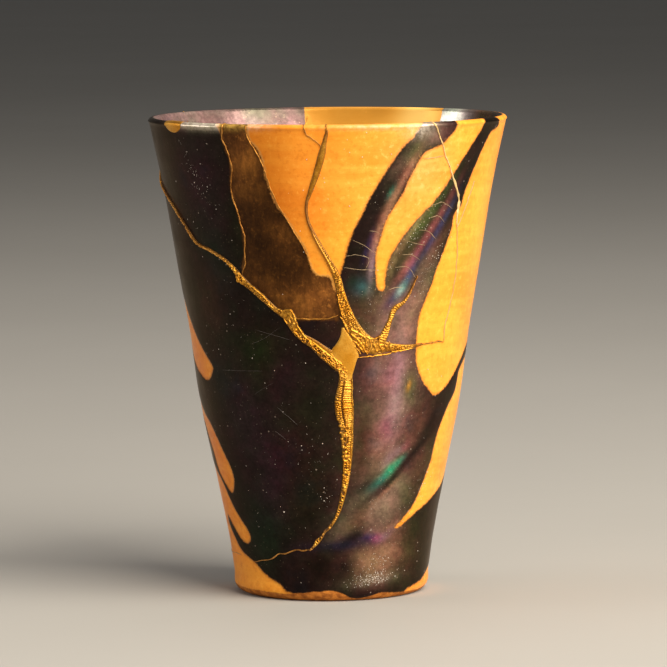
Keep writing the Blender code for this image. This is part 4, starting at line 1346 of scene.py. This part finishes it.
def gold_field(strands, ridges, beads):
    """The gold over a fine grid: angles, shares, heights, half widths, and how grainy it is."""
    lines = [route_line(strand[0]) for strand in strands]
    every = np.concatenate(lines)
    low, high = every.min(0), every.max(0)
    grid_angle = np.arange(low[0] - GRID_MARGIN, high[0] + GRID_MARGIN, GRID_TURN)
    grid_share = np.arange(low[1] - GRID_BELOW, high[1] + GRID_ABOVE, GRID_RISE / HEIGHT)
    over, up_share = np.meshgrid(grid_angle, grid_share)
    wobble = value_noise(over * RIDGE_WAVE_TURN, up_share * RIDGE_WAVE_ROWS, RIDGE_WOBBLE_SEED)
    wobble = RIDGE_WOBBLE * (2 * wobble - 1)
    knobby = value_noise(over * RIDGE_LUMP_TURN, up_share * RIDGE_LUMP_ROWS, RIDGE_SEED)
    knobby = RIDGE_LOW + (RIDGE_HIGH - RIDGE_LOW) * knobby
    height = np.full(over.shape, -SEAM_SINK)
    body, grainy = np.zeros(over.shape), np.ones(over.shape)
    for line, (_, relief, flatness, texture, rough) in zip(lines, strands):
        found = seam_distances(grid_angle, grid_share, line)
        up, past = dome(*found[:2], flatness)
        near = up > 0
        factor = np.zeros(over.shape)
        factor[near] = texture(Strand(*(values[near] for values in found)))
        level = SEAM_STAND * relief * up * factor - EDGE_FALL * past
        grainy = np.where(level > height, rough, grainy)
        height = np.maximum(height, level)
        body = np.maximum(body, np.where(past < SPAN_MARGIN, found[1], 0))
    for points, half_width, relief in ridges:
        widths = [half_width * RIDGE_TAIL, *[half_width] * (len(points) - 2), half_width * RIDGE_HEAD]
        line = route_line([(*point, width) for point, width in zip(points, widths)])
        across, width, _, _ = seam_distances(grid_angle, grid_share, line)
        up, past = dome(across + wobble, width)
        height = np.maximum(height, SEAM_STAND * relief * knobby * up - EDGE_FALL * past)
    for angle, share, size, relief in beads:
        x = (grid_angle - angle)[None, :] * degree_at(share)
        y = (grid_share - share)[:, None] * HEIGHT
        up, past = dome(np.hypot(x, y), size * MILLIMETRE)
        height = np.maximum(height, SEAM_STAND * relief * up - EDGE_FALL * past)
    return grid_angle, grid_share, np.maximum(height, -SEAM_SINK), body, grainy


def corners_of(grid):
    """The four corners of each cell of a grid."""
    return [grid[:-1, :-1], grid[1:, :-1], grid[:-1, 1:], grid[1:, 1:]]


def sheet_mesh(top, keep):
    """A mesh over the kept cells of a grid of points, and which points it uses."""
    used = np.zeros(top.shape[:2], bool)
    for corner in corners_of(used):
        corner |= keep
    number = np.full(used.shape, -1)
    number[used] = np.arange(used.sum())
    low_left, high_left, low_right, high_right = (corner[keep] for corner in corners_of(number))
    faces = np.stack([low_left, low_right, high_right, high_left], 1).tolist()
    return held_in(top[used]), faces, used


def relief_piece(strands, ridges, beads):
    """Points and faces of a network of raised gold, with bulk, lift, grain and 0 as it lies outside."""
    grid_angle, grid_share, height, body, grainy = gold_field(strands, ridges, beads)
    keep = np.max(corners_of(height), 0) > KEEP_ABOVE
    angle, share = np.meshgrid(grid_angle, grid_share)
    points, faces, used = sheet_mesh(on_wall(angle, np.minimum(share, LIP_START), height), keep)
    bulk = smooth_step(BULK_FROM, BULK_TO, body[used])
    lift = np.clip(height[used] / SEAM_STAND, 0, 1)
    return points, faces, np.stack([bulk, lift, grainy[used], np.zeros(len(points))], 1)


def hair_piece(route, bulk, inside=False):
    """Points and faces of a thin raised line of gold, with bulk, lift, grain and 1 if it lies inside."""
    slim = [(angle, share, width * HAIR_SLIM) for angle, share, width in route]
    points, faces = strip(slim, HAIR_STAND, HAIR_SWAY, inside)
    sideways = (points[:, 0] + points[:, 1]) / HAIR_LUMP
    uneven = value_noise(sideways, points[:, 2] / HAIR_LUMP, HAIR_LIFT_SEED)
    values = np.tile((bulk, 0.0, min(1.0, HAIR_GRAIN_LIMIT - bulk), float(inside)), (len(points), 1))
    values[:, 1] = HAIR_LIFT + (1 - HAIR_LIFT) * uneven
    return points, faces, values


def gold_object(name, pieces, material):
    """Pieces of gold as one object, with the shader's values and the layout for baking."""
    points, faces, _ = stacked([piece[:2] for piece in pieces])
    values = np.concatenate([piece[2] for piece in pieces])
    made = new_object(name, points, faces, material)
    for attribute, column in zip(("bulk", "lift", "grain"), values.T):
        add_values(made, attribute, column)
    middle = math.degrees(math.atan2(points[:, 0].mean(), -points[:, 1].mean()))
    angle = nearest_turn(np.degrees(np.arctan2(points[:, 0], -points[:, 1])), middle)
    across = (angle - angle.min()) / np.ptp(angle) * GOLD_SPAN + (1 - GOLD_SPAN) / 2
    z = points[:, 2] / HEIGHT
    outside, inside = (low + size * z for low, size in (GOLD_OUTSIDE_BAND, GOLD_INSIDE_BAND))
    add_bake_map(made, across, np.where(values[:, 3] > 0.5, inside, outside))
    return made


def make_seam(name, strands, ridges, beads, hairlines, inside_routes, material):
    pieces = [relief_piece(strands, ridges, beads)]
    pieces += [hair_piece(route, bulk) for bulk, route in hairlines]
    for route in inside_routes:
        kept = [(a, s, w * INSIDE_WIDTH_SHARE) for a, s, w in route if s > INSIDE_LOWEST]
        pieces.append(hair_piece(kept, INSIDE_BULK, inside=True))
    return gold_object(name, pieces, material)


def make_chip(material):
    """The gold fill of the rim chip, over the lip."""
    reach_turn = math.degrees(CHIP_WIDTH / 2 / RIM_RADIUS) * CHIP_GRID_SIDE
    grid_angle = CHIP_ANGLE + np.linspace(-reach_turn, reach_turn, CHIP_GRID)
    low = 1 - CHIP_DROP * CHIP_GRID_DROP / HEIGHT
    angle, share = np.meshgrid(grid_angle, np.linspace(low, LIP_END + CHIP_DROP / HEIGHT, CHIP_GRID))
    turn = math.radians(CHIP_ANGLE)
    middle = RIM_RADIUS - LIP_HALF
    centre = np.array([middle * math.sin(turn), -middle * math.cos(turn), HEIGHT])
    from_middle = on_wall(angle, share) - centre
    side = from_middle @ np.array([math.cos(turn), math.sin(turn), 0.0])
    q = np.hypot(side / (CHIP_WIDTH / 2), from_middle[..., 2] / CHIP_DROP)
    lumps = value_noise(angle * CHIP_LUMP_TURN, share * CHIP_LUMP_ROWS, CHIP_SEED)
    lumps = CHIP_LOW + CHIP_LUMPINESS * lumps
    height = np.minimum(CHIP_STAND * np.sqrt(np.clip(1 - q**CHIP_FLATNESS, 0, 1)) * lumps, CHIP_STAND)
    height = np.where(q > 1, -CHIP_FALL * (q - 1), height)
    keep = np.min(corners_of(q), 0) < CHIP_REACH
    points, faces, _ = sheet_mesh(on_wall(angle, share, height), keep)
    values = np.tile((CHIP_BULK, 1.0, CHIP_GRAIN, 0.0), (len(points), 1))
    return gold_object("rim_chip_gold", [(points, faces, values)], material)


# Materials

class Field:
    """A value in a material's nodes. Arithmetic on it adds Math nodes."""

    def __init__(self, look, socket):
        self.look, self.socket = look, socket

    def maths(self, operation, first, second=0.0):
        return self.look.node("Math", {0: first, 1: second}, operation=operation)

    def __add__(self, other):
        return self.maths("ADD", self, other)

    def __radd__(self, other):
        return self.maths("ADD", other, self)

    def __sub__(self, other):
        return self.maths("SUBTRACT", self, other)

    def __rsub__(self, other):
        return self.maths("SUBTRACT", other, self)

    def __mul__(self, other):
        return self.maths("MULTIPLY", self, other)

    def above(self, level):
        return self.maths("GREATER_THAN", self, level)

    def below(self, level):
        return self.maths("LESS_THAN", self, level)

    def eased(self, low, high):
        """0 to 1 as the value goes from one level to another."""
        inputs = {"Value": self, "From Min": low, "From Max": high}
        return self.look.node("MapRange", inputs, interpolation_type="SMOOTHSTEP")

    def ramp(self, stops):
        made = self.look.node("ValToRGB", {0: self})
        elements = made.socket.node.color_ramp.elements
        while len(elements) < len(stops):
            elements.new(0.5)
        for element, (at, colour) in zip(elements, stops):
            element.position = at
            element.color = (*colour, 1.0)
        return made

    def blend(self, low, high, mode="MIX"):
        """A colour between two colours, by this value."""
        return self.look.blend(self, low, high, mode)

    def value(self, low, high):
        """A number between two numbers, by this value."""
        return self.look.node("Mix", {0: self, 2: low, 3: high}, data_type="FLOAT")

    def spread(self, levels):
        """The least of a range of levels, with this share of the range added."""
        least, added = levels
        return least + self * added

    def tinted(self, share, colour):
        """This colour with a share of another."""
        return self.look.blend(share, self, colour)

    def scaled(self, factor):
        return self.look.node("VectorMath", {0: self, "Scale": factor}, operation="SCALE")


class Look:
    """A material under way. Patterns follow the object's coordinates, and scales are waves a metre."""

    def __init__(self, name):
        self.material = bpy.data.materials.new(name)
        self.material.use_nodes = True
        self.tree = self.material.node_tree
        self.shader = self.tree.nodes["Principled BSDF"]
        self.place = self.node("TexCoord", {}, "Object")

    def node(self, kind, inputs, output=0, **settings):
        """An output of a new node, whose inputs are numbers, colours or fields."""
        made = self.tree.nodes.new("ShaderNode" + kind)
        for name, value in settings.items():
            setattr(made, name, value)
        for name, value in inputs.items():
            if isinstance(value, Field):
                self.tree.links.new(value.socket, made.inputs[name])
            else:
                made.inputs[name].default_value = value
        return Field(self, made.outputs[output])

    def blend(self, share, low, high, mode="MIX"):
        low, high = (colour if isinstance(colour, Field) else (*colour, 1.0) for colour in (low, high))
        return self.node("Mix", {0: share, 6: low, 7: high}, 2, data_type="RGBA", blend_type=mode)

    def noise(self, scale, detail=2.0, roughness=0.5, place=None):
        inputs = {"Vector": place or self.place, "Scale": scale, "Detail": detail, "Roughness": roughness}
        return self.node("TexNoise", inputs, "Fac")

    def streaks(self, sideways, upright, detail=2.0, roughness=0.5):
        """Noise drawn out along one direction."""
        place = self.node("Mapping", {"Vector": self.place, "Scale": (sideways, sideways, upright)})
        return self.noise(1.0, detail, roughness, place)

    def cells(self, scale):
        """The distance from the middles of random cells, and a random value for each cell."""
        distance = self.node("TexVoronoi", {"Vector": self.place, "Scale": scale}, "Distance")
        colour = Field(self, distance.socket.node.outputs["Color"])
        return distance, self.node("SeparateColor", {0: colour})

    def attribute(self, name, output="Fac"):
        return self.node("Attribute", {}, output, attribute_name=name)

    def specks(self, scale, least, size, dense_low, dense_high):
        """1 on tiny round specks that gather in patches."""
        distance, pick = self.cells(scale)
        gather = self.noise(60, 2.0).eased(dense_low, dense_high) * 0.25
        return distance.below(size) * (pick + gather).above(least)

    def ragged(self, name):
        """1 where a distance attribute is above 0, with an uneven edge, and the distance itself."""
        fine, coarse, soft = RAGGED[name]
        rough = (self.noise(1700, 3.0, 0.6) - 0.5) * fine + (self.noise(330, 2.0) - 0.5) * coarse
        gap = self.attribute(name) + rough
        return gap.eased(-soft, soft), gap

    def finish(self, colour, rough, metal=None, relief=None):
        """Gives the shader what it needs. The relief is in metres."""
        sockets = {"Base Color": colour, "Metallic": metal, "Roughness": rough}
        if relief:
            sockets["Normal"] = self.node("Bump", {"Height": relief, "Distance": 1.0, "Strength": 1.0})
        for name, field in sockets.items():
            if field:
                self.tree.links.new(field.socket, self.shader.inputs[name])
        return self.material


def orange_colour(look, gap):
    colour = look.noise(60, 3.0).eased(0.35, 0.68).blend(*ORANGE_GROUND)
    colour = colour.tinted(look.streaks(45, 480, 3.0, 0.6).eased(0.40, 0.75) * 0.50, ORANGE_BAND)
    colour = colour.tinted(look.streaks(150, 1900, 3.0, 0.7).eased(0.55, 0.80) * 0.30, ORANGE_STREAK)
    mottled = look.noise(640, 4.0, 0.72)
    colour = colour.tinted(mottled.eased(0.50, 0.70) * 0.50, ORANGE_DEEP)
    colour = colour.tinted(mottled.eased(0.47, 0.30) * 0.46, ORANGE_BRIGHT)
    colour = colour.tinted((1.0 - gap.eased(0.0, 0.0009)) * 0.55, ORANGE_HALO)
    distance, pick = look.cells(240)
    colour = colour.tinted(distance.below(0.055) * pick.above(0.95) * 0.6, ORANGE_PIT)
    # The orange is multiplied by its tone, which holds painted shade on the left and painted sheen on the
    # right as well as the glaze's own depth
    return look.blend(1.0, colour, look.attribute("orange_tone_and_painted_light", "Color"), "MULTIPLY")


def bronze_colour(look):
    colour = look.noise(130, 4.0, 0.65).ramp(BRONZE_STOPS)
    colour = colour.tinted(look.noise(1200, 3.0, 0.6).eased(0.52, 0.78) * 0.5, BRONZE_DUST)
    mottle = look.streaks(900, 420, 4.0, 0.75).eased(0.34, 0.66)
    return colour.scaled(look.attribute("brown_light") * mottle.value(0.74, 1.28))


def dark_colour(look, lustre_and_painted_light, specks):
    """The lustrous dark glaze: its painted hues, with painted sheen and highlights among them, clouded and
    streaked.
    """
    bright = look.noise(210, 6.0, 0.70) * 1.9 + look.streaks(110, 1500) * 0.25 - 0.10
    mottle = look.noise(950, 4.0, 0.75).eased(0.34, 0.66)
    dark = lustre_and_painted_light.scaled(bright * mottle.value(0.80, 1.20))
    hues = look.noise(85, 3.0, 0.6).ramp(HUE_STOPS)
    lively = lustre_and_painted_light.eased(0.015, 0.14)
    dark = (0.60 - lively * 0.35).blend(dark, hues, "MULTIPLY")
    fine = look.specks(1500, 0.86, 0.17, 0.40, 0.60)
    dark = dark.tinted(fine * (0.12 + lively * 0.50), FINE_SPECK)
    return dark.tinted(specks * 0.55, COARSE_SPECK)


def make_glaze():
    look = Look("poured_glaze")
    orange, gap = look.ragged("orange_gap")
    bronze, rim = look.ragged("bronze_gap")
    clay, _ = look.ragged("clay_gap")
    ochre, _ = look.ragged("ochre_gap")
    inside = look.attribute("inside").eased(0.3, 0.7)
    specks = look.specks(620, 0.93, 0.12, 0.46, 0.64)
    # The lustre attribute carries the painted sheen and highlights as well as the lustre's own hues
    lustre_and_painted_light = look.attribute("lustre_and_painted_light", "Color")

    # Over the ochre inside, brown_light is painted light and shade, which also pales the ochre; over the
    # bronze it makes it lighter or darker from place to place
    light = look.attribute("brown_light")
    ochre_tone = look.noise(110, 3.0).blend(*OCHRE_GROUND)
    ochre_tone = ochre_tone.tinted(light.eased(1.0, 2.2), OCHRE_PALE).scaled(light)
    clay_tone = look.noise(700, 3.0, 0.6).ramp(CLAY_STOPS)
    dark = dark_colour(look, lustre_and_painted_light, specks)
    dark = dark.tinted((1.0 - gap.maths("ABSOLUTE", gap).eased(0.0, 0.00040)) * 0.55, EDGE_BROWN)
    flecks = look.noise(1500, 3.0, 0.7).eased(0.55, 0.66) * gap.eased(-0.0013, -0.0002)
    dark = dark.tinted(flecks * (lustre_and_painted_light.eased(0.02, 0.08) * 0.60), EDGE_FLECK)

    colour = orange.blend(dark, orange_colour(look, gap))
    colour = bronze.blend(colour, bronze_colour(look))
    frayed = rim.maths("ABSOLUTE", rim + 0.00010)
    frayed = (1.0 - frayed.eased(0.0, 0.00050)) * 0.60
    colour = colour.tinted(frayed * orange, BRONZE_FRAY)
    # Pale lip: a painted highlight over the dark glaze, wear and painted highlight over the orange, wear over
    # the bronze
    patchy = 0.35 + look.noise(800, 3.0, 0.7).eased(0.35, 0.62)
    lip_wear_and_highlight = look.attribute("lip_wear_and_highlight") * patchy
    lip_wear_and_highlight_tone = bronze.blend(orange.blend(DARK_LIP_HIGHLIGHT, ORANGE_LIP_WEAR_AND_HIGHLIGHT), WORN_BRONZE)
    colour = lip_wear_and_highlight.maths("MINIMUM", lip_wear_and_highlight, 1.0).blend(colour, lip_wear_and_highlight_tone)
    colour = clay.blend(colour, clay_tone)
    colour = inside.blend(colour, ochre.blend(dark, ochre_tone))

    plain = orange.maths("MAXIMUM", orange, clay)
    metal = ochre.value((1.0 - plain) * DARK_METAL, OCHRE_METAL)
    metal = bronze.value(metal, BRONZE_METAL) * (1.0 - specks) * (1.0 - inside * INSIDE_METAL_LOSS)
    rough = look.noise(160, 2.0).spread(DARK_ROUGH)
    levels = (ORANGE_ROUGH, BRONZE_ROUGH, CLAY_ROUGH, INSIDE_ROUGH)
    for mask, level in zip((orange, bronze, clay, inside), levels):
        rough = mask.value(rough, level)
    relief = look.noise(420, 2.0) * GLAZE_LUMPS + look.streaks(90, 1500) * GLAZE_STREAKS
    relief = relief + specks * GLAZE_SPECKS - plain * GLAZE_THICKNESS
    relief = relief + look.noise(1600, 3.0) * clay * CLAY_GRAIN
    look.shader.inputs["Specular IOR Level"].default_value = GLAZE_SPECULAR
    look.shader.inputs["Specular Tint"].default_value = (*GLAZE_TINT, 1.0)
    return look.finish(colour, rough, metal, relief)


def make_crack():
    look = Look("glaze_crack")
    colour = look.attribute("pale").blend(SCRATCH_TONE, look.noise(500, 2.0).blend(*CRACK_TONES))
    rough = look.noise(900, 2.0).spread(CRACK_ROUGH)
    return look.finish(colour, rough, relief=look.noise(2000, 2.0) * CRACK_GRAIN)


def make_crystal():
    look = Look("glaze_crystal")
    colour = look.noise(900, 2.0).blend(*CRYSTAL_TONES)
    rough = look.noise(1300, 2.0).spread(CRYSTAL_ROUGH)
    return look.finish(colour, rough, relief=look.noise(2600, 2.0) * CRYSTAL_GRAIN)


def make_gold():
    look = Look("gold_lacquer_dust")
    bulk, lift, grainy = (look.attribute(name) for name in ("bulk", "lift", "grain"))
    fine = look.noise(2300, 3.0, 0.65)
    uneven = lift + (fine - 0.5) * 0.9
    broad = look.noise(260, 3.0, 0.6).eased(0.3, 0.7)
    colour = bulk.blend(broad.blend(*GOLD_DULL), broad.blend(*GOLD_RICH))
    colour = colour.tinted(bulk.eased(1.0, 1.5), GOLD_PALE)
    # Painted shade and patina: the gold darkens by its lift, deepest in its hollows and on low slopes
    shades = uneven.eased(0.05, 0.45).blend(GOLD_HOLLOW_SHADE_AND_PATINA, GOLD_SLOPE_SHADE_AND_PATINA)
    shades = shades.tinted(uneven.eased(0.40, 0.85), WHITE)
    colour = look.blend(1.0, colour, grainy.blend(WHITE, shades), "MULTIPLY")
    dust = look.noise(3400, 2.0, 0.6)
    colour = colour.tinted(dust.eased(0.50, 0.74) * 0.42, GOLD_DUST)
    out_of_hollows = lift.eased(0.10, 0.40).spread((HOLLOW_GOLD_METAL, 1 - HOLLOW_GOLD_METAL))
    metal = bulk.value(THIN_GOLD_METAL, 1.0) * out_of_hollows
    metal = metal * (1.0 - bulk.eased(1.0, 2.2))
    relief = fine * grainy * GOLD_GRAIN + dust * GOLD_DUST_GRAIN + look.noise(1200, 2.0) * GOLD_LUMPS
    return look.finish(colour, dust.spread(GOLD_ROUGH), metal, relief)


# Studio

def make_floor():
    look = Look("studio_floor")
    colour = look.noise(3.0, 2.0).blend(*FLOOR_TONES)
    material = look.finish(colour, look.noise(30, 2.0).spread(FLOOR_ROUGH))
    half = FLOOR_SIZE / 2
    corners = [(-half, -half, 0), (half, -half, 0), (half, half, 0), (-half, half, 0)]
    floor = new_object("studio_floor", corners, [(0, 1, 2, 3)], material, smooth=False)


def make_world():
    world = bpy.data.worlds.new("studio_air")
    world.use_nodes = True
    back = world.node_tree.nodes["Background"]
    back.inputs["Color"].default_value = (*AIR_COLOUR, 1.0)
    back.inputs["Strength"].default_value = WORLD_STRENGTH
    bpy.context.scene.world = world


def make_lights():
    for name, (turn, lift, distance), (wide, tall), power, colour in LIGHTS:
        data = bpy.data.lights.new(name, "AREA")
        data.shape = "RECTANGLE"
        data.size, data.size_y = wide, tall
        data.energy = power
        data.color = colour
        lamp = bpy.data.objects.new(name, data)
        a, e = math.radians(turn), math.radians(lift)
        back = Vector((math.sin(a) * math.cos(e), -math.cos(a) * math.cos(e), math.sin(e)))
        lamp.location = Vector(LIGHT_TARGET) + back * distance
        lamp.rotation_mode = "QUATERNION"
        lamp.rotation_quaternion = (-back).to_track_quat("-Z", "Y")
        bpy.context.scene.collection.objects.link(lamp)


def make_camera():
    data = bpy.data.cameras.new("photo_view")
    data.lens = CAMERA_LENS
    data.sensor_width = SENSOR_WIDTH
    data.clip_start, data.clip_end = CLIP_RANGE
    camera = bpy.data.objects.new("photo_view", data)
    place = Matrix.Translation(CAMERA_PLACE)
    for degrees, axis in ((-CAMERA_YAW, "Z"), (90 - CAMERA_PITCH, "X"), (-CAMERA_ROLL, "Z")):
        place = place @ Matrix.Rotation(math.radians(degrees), 4, axis)
    camera.matrix_world = place
    bpy.context.scene.collection.objects.link(camera)
    bpy.context.scene.camera = camera


def finish_piece(piece, slot, *nodes):
    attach(piece, BODY)
    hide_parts(*nodes)


def main():
    make_camera()
    make_world()
    make_lights()
    make_floor()
    gold = make_gold()
    body = make_body(make_glaze(), make_crystal(), make_crack())
    finish_piece(body, "glazed_stoneware", "cup_body")
    front = make_seam("front_seam_gold", FRONT_STRANDS, RIDGES, BEADS, HAIRLINES, INSIDE_ROUTES, gold)
    finish_piece(front, "gold_lacquer", "gold_seam_front")
    back = make_seam("back_seam_gold", BACK_STRANDS, [], [], BACK_HAIRLINES, INSIDE_BACK_ROUTES, gold)
    finish_piece(back, "gold_lacquer", "gold_seam_back")
    finish_piece(make_chip(gold), "gold_lacquer", "gold_rim_chip")
    bpy.context.scene.view_settings.view_transform = "Standard"


main()
